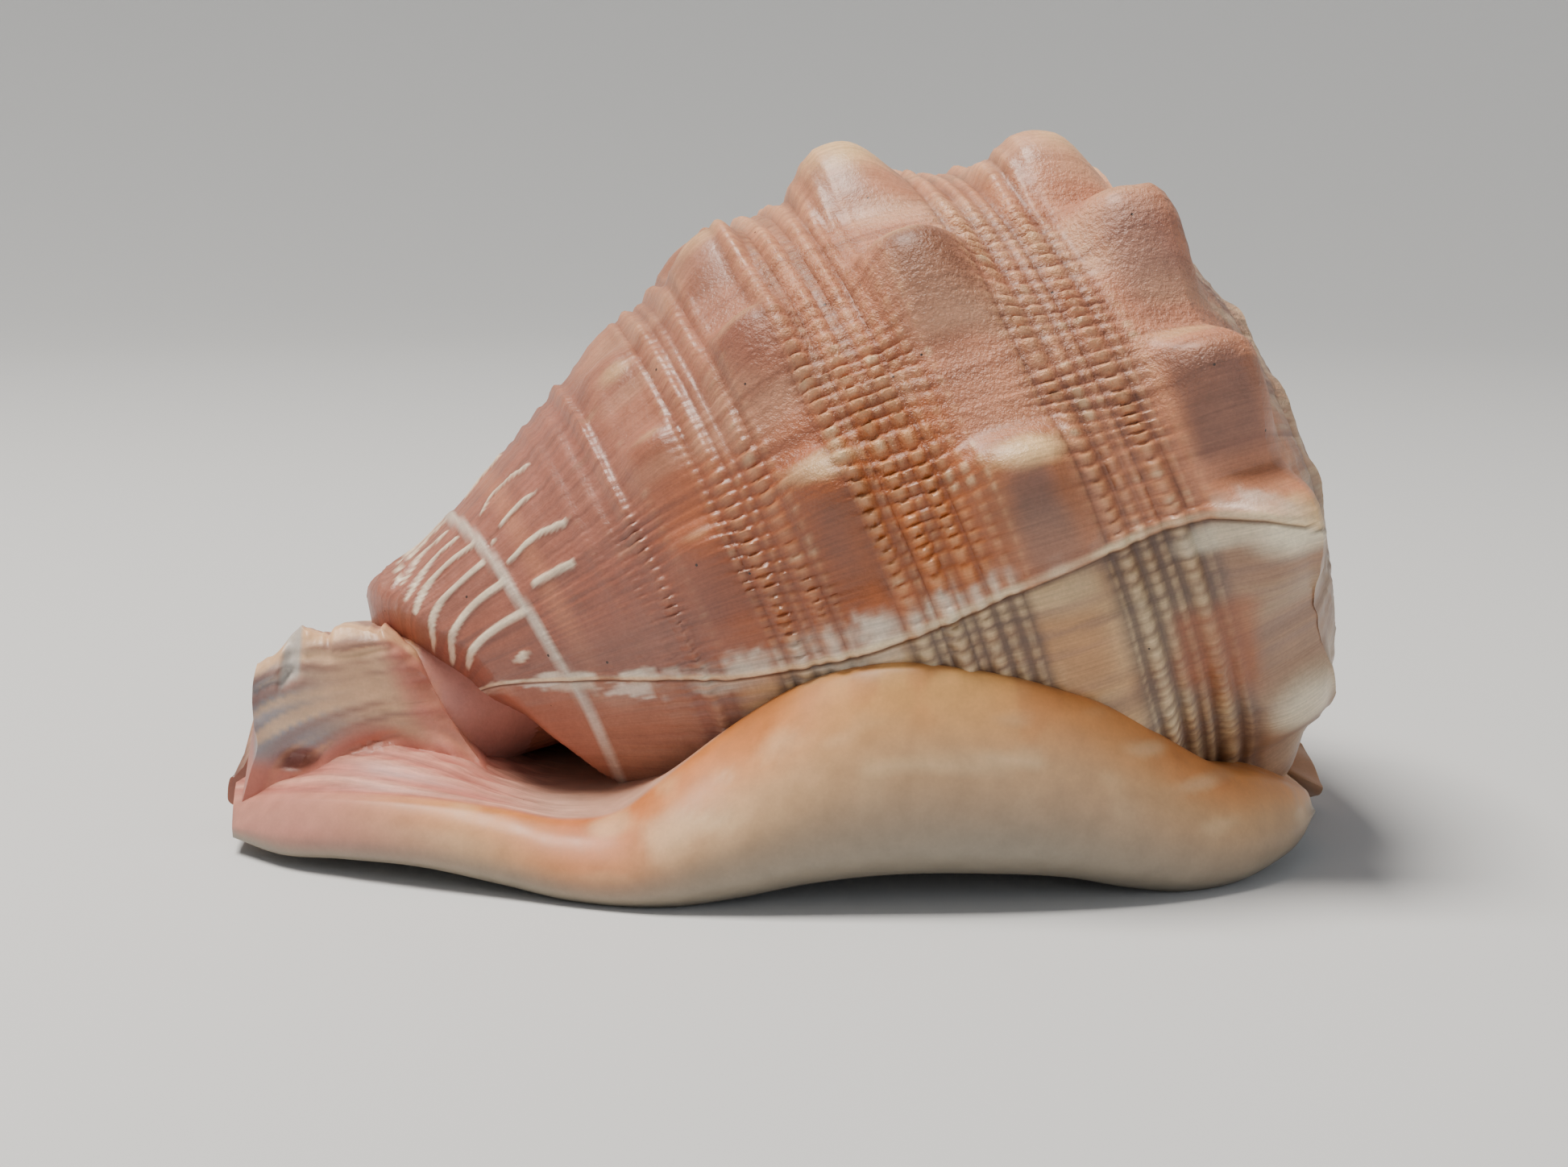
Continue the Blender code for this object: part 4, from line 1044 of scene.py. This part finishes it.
print("shell:", len(shell.data.loop_triangles), "triangles, materials",
      [m.name for m in shell.data.materials])

# %% [markdown]
# ## Colour of every point
#
# The colours of a shell are laid down as it grows, so they follow its knobs, cords and scar. The
# growth rule can be read backwards: a point's place along the axis and round it gives back its turn
# angle and its distance from the shoulder. The colours are worked out from these, so that they sit
# on the same features as the relief. Some of them are painted shade and highlight, in part or
# whole, as said where they are worked out.

# %% Colour


def mix(a, b, f):
    """From colour a to colour b by the share f."""
    f = np.clip(f, 0, 1)[..., None]
    return a * (1 - f) + b * f


def flat(code, points):
    """One colour for every point."""
    return np.broadcast_to(linear(code), points.shape).copy()


def grown_where(points):
    """Turn angle, distance from the shoulder and radius of points of the last whorl."""
    rel = points - AXIS_POINT
    place = rel @ ALONG
    angle = np.arctan2(rel @ SIDEWAYS, rel @ UPWARD)
    angle = np.where(angle < math.radians(LIP_ANGLE), angle + math.tau, angle)
    radius = np.hypot(rel @ SIDEWAYS, rel @ UPWARD)
    return angle, shoulder_place(angle) - place, radius


def oiled(colour, depth):
    """Deepens the colours, as oil rubbed into a shell does."""
    grey = colour @ np.array([0.2126, 0.7152, 0.0722])
    return np.clip(grey[..., None] + depth * (colour - grey[..., None]), 0.0, 1.0)


def patch_mark(turn, distance, patch, cloud):
    """How much of a brown patch lies at a place, with an uneven edge."""
    first, last, low, high = patch[:4]
    wobble = 4.0 * (cloud - 0.5)
    mark = rise_between(turn + wobble, first - 2.5, first
                        + 2.5) * (1 - rise_between(turn + 2 * wobble, last - 8, last + 5))
    return mark * rise_between(distance + 0.5 * wobble, low - 1.6, low + 1.6) * (
        1 - rise_between(distance + 0.5 * wobble, high - 1.6, high + 1.6))


def whorl_colour(points):
    """Colour and grain of the outer layer."""
    angle, distance, radius = grown_where(points)
    turn = np.degrees(angle)
    cloud = noise(np.stack([angle * 8.0, distance / 9.0], axis=-1), 1.0, 31)
    small = noise(np.stack([angle * 40.0, distance / 2.5], axis=-1), 1.0, 33)
    streak = noise(np.stack([angle * 45.0, distance / 22.0], axis=-1), 1.0, 32)
    colour = flat("#b9836c", points)
    colour = mix(colour, linear("#ab6540"), rise_between(turn, 34, 62) * rise_between(distance, 30, 40))
    colour = mix(colour, linear("#bd866c"), rise_between(turn, 40, 62)
                 * (1 - rise_between(distance, 24, 34)))
    colour = mix(colour, linear("#d0a88e"), 0.6 * rise_between(cloud, 0.5, 0.9)
                 * (1 - rise_between(turn, 50, 70)))
    colour = mix(colour, linear("#7a4c3a"), 0.5 * rise_between(streak, 0.55, 0.95))
    colour = mix(colour, linear("#cfa98f"), 0.4 * (1 - rise_between(turn, -5, 22)))
    for patch in PATCHES:
        colour = mix(colour, linear(patch[4]), patch[5] * patch_mark(turn, distance, patch, cloud))
    for centre, row, length, width, strength in CREAMS:
        near = (angle - math.radians(centre)) * np.interp(max(row, 0),
                                                          *PROFILE.T) * widening(math.radians(centre))
        skew = near / length + 0.25 * ((distance - row) / width) ** 2
        fade = 1 - rise_between(np.hypot(skew, (distance - row) / width) + 0.35 * (small - 0.5), 0.2, 1.15)
        colour = mix(colour, linear("#e6c69c"), strength * fade)
    # Cords and ribs: pale backs, partly painted highlight, and amber and brown in the pits, partly painted
    # shade
    wave = rib_wave(angle, distance)
    strength = rib_strength(angle, distance)
    band = in_cord_bands(distance)
    cord = cord_backs(distance)
    amber = rise_between(turn, 32, 52) * (1 - rise_between(turn, 84, 90)) * rise_between(distance, 25, 34)
    pit = mix(flat("#7c5143", points), linear("#8e4a24"), amber)
    # Darker between and beside the cords: partly brown, partly painted shade
    colour = mix(colour, linear("#855844"), 0.25 * band * (1 - cord))
    colour = mix(colour, linear("#5d423a"), 0.6 * beside_cords(distance) * (0.4 + 0.8 * small))
    colour = mix(colour, pit, 0.68 * band * np.clip(strength, 0, 1) * (1 - wave))
    colour = mix(colour, linear("#eabd95"), 0.65 * cord * wave * (0.35 + 0.65 * np.clip(strength, 0, 1)))
    # Paler cream on some bead tops: partly painted highlight
    bright = rise_between(noise(np.stack([angle * 25.0, distance / 3.0], axis=-1), 1.0, 34), 0.76, 0.9)
    colour = mix(colour, linear("#f0dcb8"), 0.7 * bright * cord * wave * rise_between(turn, 25, 40))
    # Darker pits between the fine ribs of the plain band: partly painted shade
    plain = (1 - band) * rise_between(distance, 49, 53) * (1 - rise_between(distance, 86, 90))
    colour = mix(colour, linear("#6f4636"), 0.35 * plain * np.clip(strength, 0, 1) * (1 - wave))
    # The canal end: mauve brown, with white strokes and a white cord
    colour = mix(colour, linear("#84564b"), 0.4 * rise_between(distance, 43, 54))
    colour = mix(colour, linear("#936359"), 0.75 * rise_between(distance, 64, 78))
    colour = mix(colour, linear("#7c574e"), 0.5 * rise_between(distance, 66, 76)
                 * rise_between(streak, 0.4, 0.8))
    colour = mix(colour, linear("#b58069"), 0.5 * bump(distance - 85.5, 2.0))
    colour = mix(colour, linear("#8a685e"), 0.6 * rise_between(turn, 62, 80)
                 * rise_between(distance, 66, 76))
    white = stroke_marks(angle, distance)
    # A brown rim round each white stroke: partly brown, partly painted shade beside the raised stroke
    edge = rise_between(white, 0.02, 0.3) * (1 - rise_between(white, 0.3, 0.6))
    colour = mix(colour, linear("#7d5348"), 0.5 * edge)
    colour = mix(colour, linear("#e6d8c3"), 0.95 * rise_between(white, 0.3, 0.85) * (0.75 + 0.35 * small))
    colour = mix(colour, linear("#cfc4b8"), 0.8 * white_cord(angle, distance))
    # Above the scar a row of white patches, below it older, greyer shell
    arc = (angle - scar_angle(distance)) * ARC_RADIUS
    gaps = noise(np.stack([distance / 3.2, angle * 3], axis=-1), 1.0, 41)
    reach = np.interp(distance, [0, 24, 34, 46, 60, 72, 80, 88, 96],
                      [4, 2, 3.5, 4, 4.5, 3.5, 2.5, 2.0, 1.2])
    fine = noise(np.stack([angle * 50.0, distance / 0.8], axis=-1), 1.0, 42)
    white = rise_between(arc + 2.5 * (gaps - 0.5) + 1.6 * (fine - 0.5), -1.15 * reach, -0.5
                         * reach) * (arc < 0.3)
    white = white * rise_between(gaps, 0.18, 0.4) * np.interp(distance, [-2, 8, 14, 30, 38],
                                                              [0.7, 0.5, 0.2, 0.3, 1])
    white = white * (1 - 0.75 * band * (1 - cord)) * (0.6 + 0.5 * fine)
    colour = mix(colour, linear("#dcd1c2"), 0.85 * white)
    older = rise_between(arc, 0.0, 0.8)
    grey = mix(flat("#b08a68", points), linear("#cdb391"), rise_between(cloud, 0.25, 0.75))
    grey = mix(grey, linear("#8a6f62"), 0.5 * rise_between(streak, 0.45, 0.8))
    grey = mix(grey, linear("#51433e"), 0.85 * band * (1 - 0.85 * cord * (0.4 + 0.6 * wave)))
    grey = mix(grey, linear("#dccaa9"), 0.55 * band * cord * wave)
    # Greyer mauve near the shoulder, beyond the last knob of the first row: painted shade on that knob's
    # shaded side
    grey = mix(grey, linear("#85726a"), 0.6 * (1 - rise_between(distance, 9, 15)))
    for patch in PATCHES:
        if patch[0] > 95:
            grey = mix(grey, linear(patch[4]), patch[5] * patch_mark(turn, distance, patch, cloud))
    for centre, row, length, width, strength in CREAMS:
        if centre > 85:
            near = (angle - math.radians(centre)) * 42.0
            fade = 1 - rise_between(np.hypot(near / length, (distance - row) / width), 0.4, 1.2)
            grey = mix(grey, linear("#e6dcc6"), strength * fade)
    grey = mix(grey, linear("#93665a"), 0.85 * rise_between(distance, 64, 76))
    grey = mix(grey, linear("#9a6656"), 0.8 * rise_between(distance, 86, 92))
    grey = mix(grey, linear("#d5cfc6"), 0.8 * white_cord(angle, distance))
    near_scar = rise_between(gaps, 0.35, 0.6) * (1 - rise_between(arc + 3 * (fine - 0.5), 1.0,
                                                                  4.5)) * rise_between(distance, 40, 60)
    grey = mix(grey, linear("#d9cfbf"), 0.7 * near_scar)
    washed = bump(distance - 82.5, 5.0) * bump(arc - 2.6, 3.2) + bump(distance - 93.0,
                                                                      4.0) * bump(arc - 0.6, 1.8)
    grey = mix(grey, linear("#ddd5cb"), 0.8 * rise_between(washed + 0.8 * (fine - 0.5), 0.35, 0.7))
    colour = mix(colour, grey, 0.95 * older)
    colour = mix(colour, linear("#ead9b8"), 0.8 * bump(arc + 0.45, 0.8) * (0.3 + 0.9 * gaps))
    # A dark line just beyond the raised edge: painted shade in the crack at its foot
    colour = mix(colour, linear("#3c2a22"), 0.85 * bump(arc - 0.4, 0.5))
    # The spire is greyer and finely streaked
    spire = rise_between(-distance, 1.0, 7.0)
    turns_in = np.log(SHOULDER_RADIUS * widening(angle) / np.maximum(radius, 0.5)) / (WIDENING * math.tau)
    part = turns_in - np.floor(turns_in)
    fading = rise_between(radius, 2.0, 34.0)
    colour = mix(colour, mix(flat("#a98a76", points), linear("#75605a"), 0.5 + (streak - 0.5) * fading),
                 0.8 * spire)
    colour = mix(colour, linear("#d9c6ac"), 0.4 * spire * rise_between(small, 0.55, 0.85) * fading)
    colour = mix(colour, linear("#d6bfa2"), 0.5 * spire * bump(part - 0.12, 0.16)
                 * rise_between(turns_in, 0.8, 1.2))
    # A dark line along the seam between the whorls of the spire: painted shade in the seam
    colour = mix(colour, linear("#55433c"), 0.65 * spire * bump(part - 0.96, 0.07))
    grain = 0.25 + (0.9 * rise_between(turn, 8, 26) * (1 - rise_between(turn, 58, 74))
                    * (1 - rise_between(distance, 44, 62)))
    return oiled(colour, 1.22), grain * (1 - 0.7 * older)


def callus_colour(points):
    """Colour and grain of the shield and the lip."""
    x, y, z = points.T
    edge = smooth_through(x, SHIELD_EDGE_Z)
    low = smooth_through(x, SHIELD_LOW)
    up = np.clip((z - low) / (edge - low), 0, 1.2)
    cloud = noise(points, 16.0, 51)
    colour = mix(flat("#cb9763", points), linear("#c4a078"), cloud)
    # Greyer and darker towards the floor: painted shade on the lower part of the shield
    colour = mix(colour, linear("#8d8374"), 1 - rise_between(up + 0.15 * (cloud - 0.5), 0.05, 0.78))
    # Orange along the upper rim, most where the shield turns down to the flange
    rim = rise_between(up + 0.2 * (cloud - 0.5), 0.6, 0.98)
    colour = mix(colour, linear("#d58b45"), 0.85 * rim)
    colour = mix(colour, linear("#c06c30"), 0.8 * rim * bump(x + 14, 30) * (0.4 + cloud))
    colour = mix(colour, linear("#d6874c"), 0.6 * rim * bump(x - 42, 26) * (0.3 + cloud))
    colour = mix(colour, linear("#c5703e"), 0.85 * bump(x + 28, 16) * rise_between(up, 0.1, 0.8))
    colour = mix(colour, linear("#e6b672"), 0.6 * rim * bump(x - 12, 20))
    blots = noise(points, 3.2, 52)
    colour = mix(colour, linear("#c07a44"), 0.5 * rim * rise_between(blots, 0.6, 0.8))
    smears = noise(points * (1.0, 1.0, 2.5), 6.0, 53)
    colour = mix(colour, linear("#e6cba2"), 0.4 * rise_between(smears, 0.55, 0.85)
                 * rise_between(up, 0.3, 0.7))
    # Pink towards the tip of the canal, and ridges of pink on the upper side of the flange
    colour = mix(colour, linear("#bb7f74"), 0.9 * (1 - rise_between(x, -66, -36))
                 * rise_between(up, 0.0, 0.5))
    pink = mix(flat("#b0665a", points), linear("#cf9482"), 0.5 + 0.5 * flange_lines(x, y))
    colour = mix(colour, pink, flange_part(x, y, z))
    shade = rise_between(x, -42, -30) * rise_between(y - smooth_through(x, SHIELD_EDGE_Y), 0.8,
                                                     3.0) * (x < -10)
    colour = mix(colour, linear("#c39c8a"), 0.85 * shade)
    # The lip: salmon, with brown blotches outside and a dark tip
    lip = rise_between(y - smooth_through(x, SLIT_MIDDLE), -2.0, 2.0)
    salmon = mix(np.broadcast_to(linear("#cf8f78"), colour.shape), linear("#dcb494"), cloud)
    ragged = noise(points, 3.0, 54)
    spots = rise_between(np.cos((x + 2.4 * (ragged - 0.5)) / 3.4) + 0.7 * (cloud - 0.5), 0.45, 0.85)
    salmon = mix(salmon, linear("#7d4c3c"), 0.75 * spots * rise_between(z + 5.0 * (ragged - 0.5), 6, 13))
    salmon = mix(salmon, linear("#5f4240"), 0.9 * (1 - rise_between(x, -73.0, -68.0)))
    colour = mix(colour, salmon, lip)
    return colour, 0.3 + 0.3 * cloud


def canal_colour(points):
    """Colour and grain of the canal and the neck."""
    x, y, z = points.T
    station = (x - smooth_through(z, CANAL_LEFT)) / (
        smooth_through(z, CANAL_RIGHT) - smooth_through(z, CANAL_LEFT))
    lines = 0.5 + canal_lines(x, z)
    top = smooth_through(station, CANAL_TOP)
    # Grey-lilac low down and towards the left end, tan higher up and to the right; the grey low down is
    # partly painted shade
    colour = mix(flat("#8b8588", points), linear("#cba88c"),
                 rise_between(0.8 * station + (z - 15) / 30, 0.1, 0.7))
    colour = mix(colour, linear("#84625a"), 0.7 * rise_between(lines, 0.5, 0.75))
    colour = mix(colour, linear("#dcb896"), 0.65 * (1 - rise_between(lines, 0.25, 0.48)))
    colour = mix(colour, linear("#b06a5a"), 0.9
                 * (1 - rise_between(z - 5.0 * bump(station - 0.6, 0.5), 8.5, 11.5)))
    colour = mix(colour, linear("#b9776a"), 0.75 * rise_between(station, 0.74, 0.9))
    colour = mix(colour, linear("#e2b992"), 0.7 * rise_between(z, top - 1.4, top - 0.3) * (y < -6))
    chip = rise_between(z, top - 6.0, top - 5.0) * (1 - rise_between(np.abs(station - 0.21), 0.04,
                                                                     0.07)) * (y < -5)
    colour = mix(colour, linear("#bdb9b4"), 0.85 * chip)
    # Darker in the pit: painted shade
    colour = mix(colour, linear("#8a5d55"), 0.8 * canal_pit(x, z) * (y < -6))
    neck = rise_between(station, 1.0, 1.02)
    # Darker towards the whorl and downwards: painted shade where the neck runs in under the whorl
    deep = rise_between(x + 1.4 * (16 - z), -40, -14)
    brown = mix(flat("#b98479", points), linear("#a0766e"), deep)
    colour = mix(colour, brown, neck)
    inside = rise_between(y, -8.0, -6.0) * (1 - rise_between(x, -62, -58))
    colour = mix(colour, linear("#b3735a"), 0.8 * inside)
    colour = mix(colour, linear("#94665c"), 0.75 * rise_between(y, -8.0, -6.0)
                 * (1 - rise_between(x, -63, -60)))
    return oiled(colour, 1.15), 0.4 + 0.4 * lines


def lining_colour(points):
    """Orange-cream inside, paler on the teeth."""
    depth = rise_between(points[:, 2], 0.0, 14.0)
    colour = mix(np.broadcast_to(linear("#e2c3a0"), points.shape), linear("#b9714a"), depth)
    return colour, np.full(len(points), 0.2)


SHARP_ANGLE = math.radians(50)

mesh = shell.data
count = len(mesh.vertices)
positions = np.empty(count * 3)
mesh.vertices.foreach_get("co", positions)
positions = positions.reshape(-1, 3) / MM - SHIFT
tints = {"granular outer layer": whorl_colour, "waxy callus": callus_colour,
         "dull canal layer": canal_colour, "smooth lining": lining_colour}
corner_vertex = np.empty(len(mesh.loops), int)
mesh.loops.foreach_get("vertex_index", corner_vertex)
face_material = np.empty(len(mesh.polygons), int)
face_start = np.empty(len(mesh.polygons), int)
face_total = np.empty(len(mesh.polygons), int)
mesh.polygons.foreach_get("material_index", face_material)
mesh.polygons.foreach_get("loop_start", face_start)
mesh.polygons.foreach_get("loop_total", face_total)
corner_material = np.repeat(face_material, face_total)
tint = np.ones((len(mesh.loops), 4))
grain = np.zeros(len(mesh.loops))
for slot, material in enumerate(mesh.materials):
    colour, pitting = tints[material.name](positions)
    here = corner_material == slot
    tint[here, :3] = colour[corner_vertex[here]]
    grain[here] = pitting[corner_vertex[here]]
turn, distance, radius = grown_where(positions)
growth = np.column_stack([turn * ARC_RADIUS, distance, rise_between(radius, 0.0, 40.0)])[corner_vertex]
x, y, z = positions[corner_vertex].T
across_flange = 0.45 * (y - smooth_through(x, SHIELD_EDGE_Y) + 0.5 * np.sin(x / 8.0))
flange = np.column_stack([across_flange, x, flange_part(x, y, z)])
on_callus = corner_material == mesh.materials.find("waxy callus")
growth[on_callus] = flange[on_callus]
mesh.attributes.new("growth", "FLOAT_VECTOR", "CORNER").data.foreach_set("vector", growth.ravel())
mesh.attributes.new("tint", "FLOAT_COLOR", "CORNER").data.foreach_set("color", tint.ravel())
mesh.attributes.new("grain", "FLOAT", "CORNER").data.foreach_set("value", grain)
mesh.shade_smooth()
mesh.set_sharp_from_angle(angle=SHARP_ANGLE)
print("coloured", count, "vertices from", len(PATCHES), "patches and", len(CREAMS), "cream marks")

# %% [markdown]
# ## Stage
#
# The shell stands on a plain pale floor that bends up all round it, so that no edge of it shows. A
# wide soft light from above gives the knobs their shaded undersides, and a weak fill on the near
# side keeps the shield readable.

# %% The piece, the floor, the lights and the camera
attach(shell, "root")
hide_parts(NODE)


def plain_material(name, code, roughness):
    """One colour and one roughness."""
    material = bpy.data.materials.new(name)
    material.use_nodes = True
    surface = material.node_tree.nodes["Principled BSDF"]
    surface.inputs["Base Color"].default_value = (*linear(code), 1.0)
    surface.inputs["Roughness"].default_value = roughness
    return material


def bowl(name, outline, around, material):
    """A surface of revolution about the vertical, from (radius, height) pairs, seen from inside."""
    points = [(0.0, 0.0, 0.0)]
    for radius, height in outline:
        turns = np.arange(around) * math.tau / around
        points.extend(zip(radius * np.cos(turns), radius * np.sin(turns), np.full(around, height)))
    faces = [(0, 1 + i, 1 + (i + 1) % around) for i in range(around)]
    for ring in range(len(outline) - 1):
        a, b = 1 + ring * around, 1 + (ring + 1) * around
        faces.extend((a + i, b + i, b + (i + 1) % around, a + (i + 1) % around) for i in range(around))
    mesh = bpy.data.meshes.new(name)
    mesh.from_pydata([tuple(map(float, p)) for p in points], [], faces)
    mesh.shade_smooth()
    mesh.materials.append(material)
    obj = bpy.data.objects.new(name, mesh)
    bpy.context.scene.collection.objects.link(obj)
    return obj


BEND = [(0.7 + 0.8 * math.sin(a), 0.8 - 0.8 * math.cos(a)) for a in np.linspace(0, math.pi / 2, 16)]
floor = bowl("paper sweep", [(0.35, 0.0), *BEND, (1.5, 1.6)], 96,
             plain_material("pale paper", "#d3d6d9", 0.9))


def soft_light(name, place, size, power, code):
    """A square light at a place, in metres, pointing at the shell."""
    light = bpy.data.lights.new(name, "AREA")
    light.shape = "SQUARE"
    light.size = size
    light.energy = power
    light.color = linear(code)
    obj = bpy.data.objects.new(name, light)
    obj.location = place
    aim = np.array([0.0, 0.0, 0.04]) - np.array(place)
    pitch = math.atan2(math.hypot(aim[0], aim[1]), -aim[2])
    obj.rotation_euler = (pitch, 0, math.atan2(-aim[0], aim[1]))
    bpy.context.scene.collection.objects.link(obj)
    return obj


soft_light("overhead", (-0.30, 0.02, 0.95), 0.40, 17.0, "#fff6ea")
soft_light("fill", (0.5, -0.9, 0.35), 0.7, 1.4, "#eaf2ff")
world = bpy.data.worlds.new("studio")
bpy.context.scene.world = world
world.use_nodes = True
world.node_tree.nodes["Background"].inputs["Color"].default_value = (*linear("#e9eef3"), 1.0)
world.node_tree.nodes["Background"].inputs["Strength"].default_value = 0.22

# The photograph was taken from 6 degrees to the left and 10 degrees above, at about 0.4 m
VIEW_TURN = math.radians(6.0)
VIEW_DROP = math.radians(10.0)
VIEW_DISTANCE = 0.4
target = np.array([0.0, 0.0, 0.030]) + SHIFT * MM
forward = np.array([math.sin(VIEW_TURN) * math.cos(VIEW_DROP), math.cos(VIEW_TURN) * math.cos(VIEW_DROP),
                    -math.sin(VIEW_DROP)])
camera_data = bpy.data.cameras.new("camera")
camera_data.sensor_width = 36.0
camera_data.lens = 69.48
camera_data.clip_start = 0.01
camera = bpy.data.objects.new("camera", camera_data)
camera.location = target - VIEW_DISTANCE * forward
camera.rotation_euler = (math.pi / 2 - VIEW_DROP, 0, -VIEW_TURN)
bpy.context.scene.collection.objects.link(camera)
bpy.context.scene.camera = camera

# %% A helper for plain lists


def plain(box):
    """A box as plain lists, which a file can hold."""
    return [[float(value) for value in corner] for corner in box]
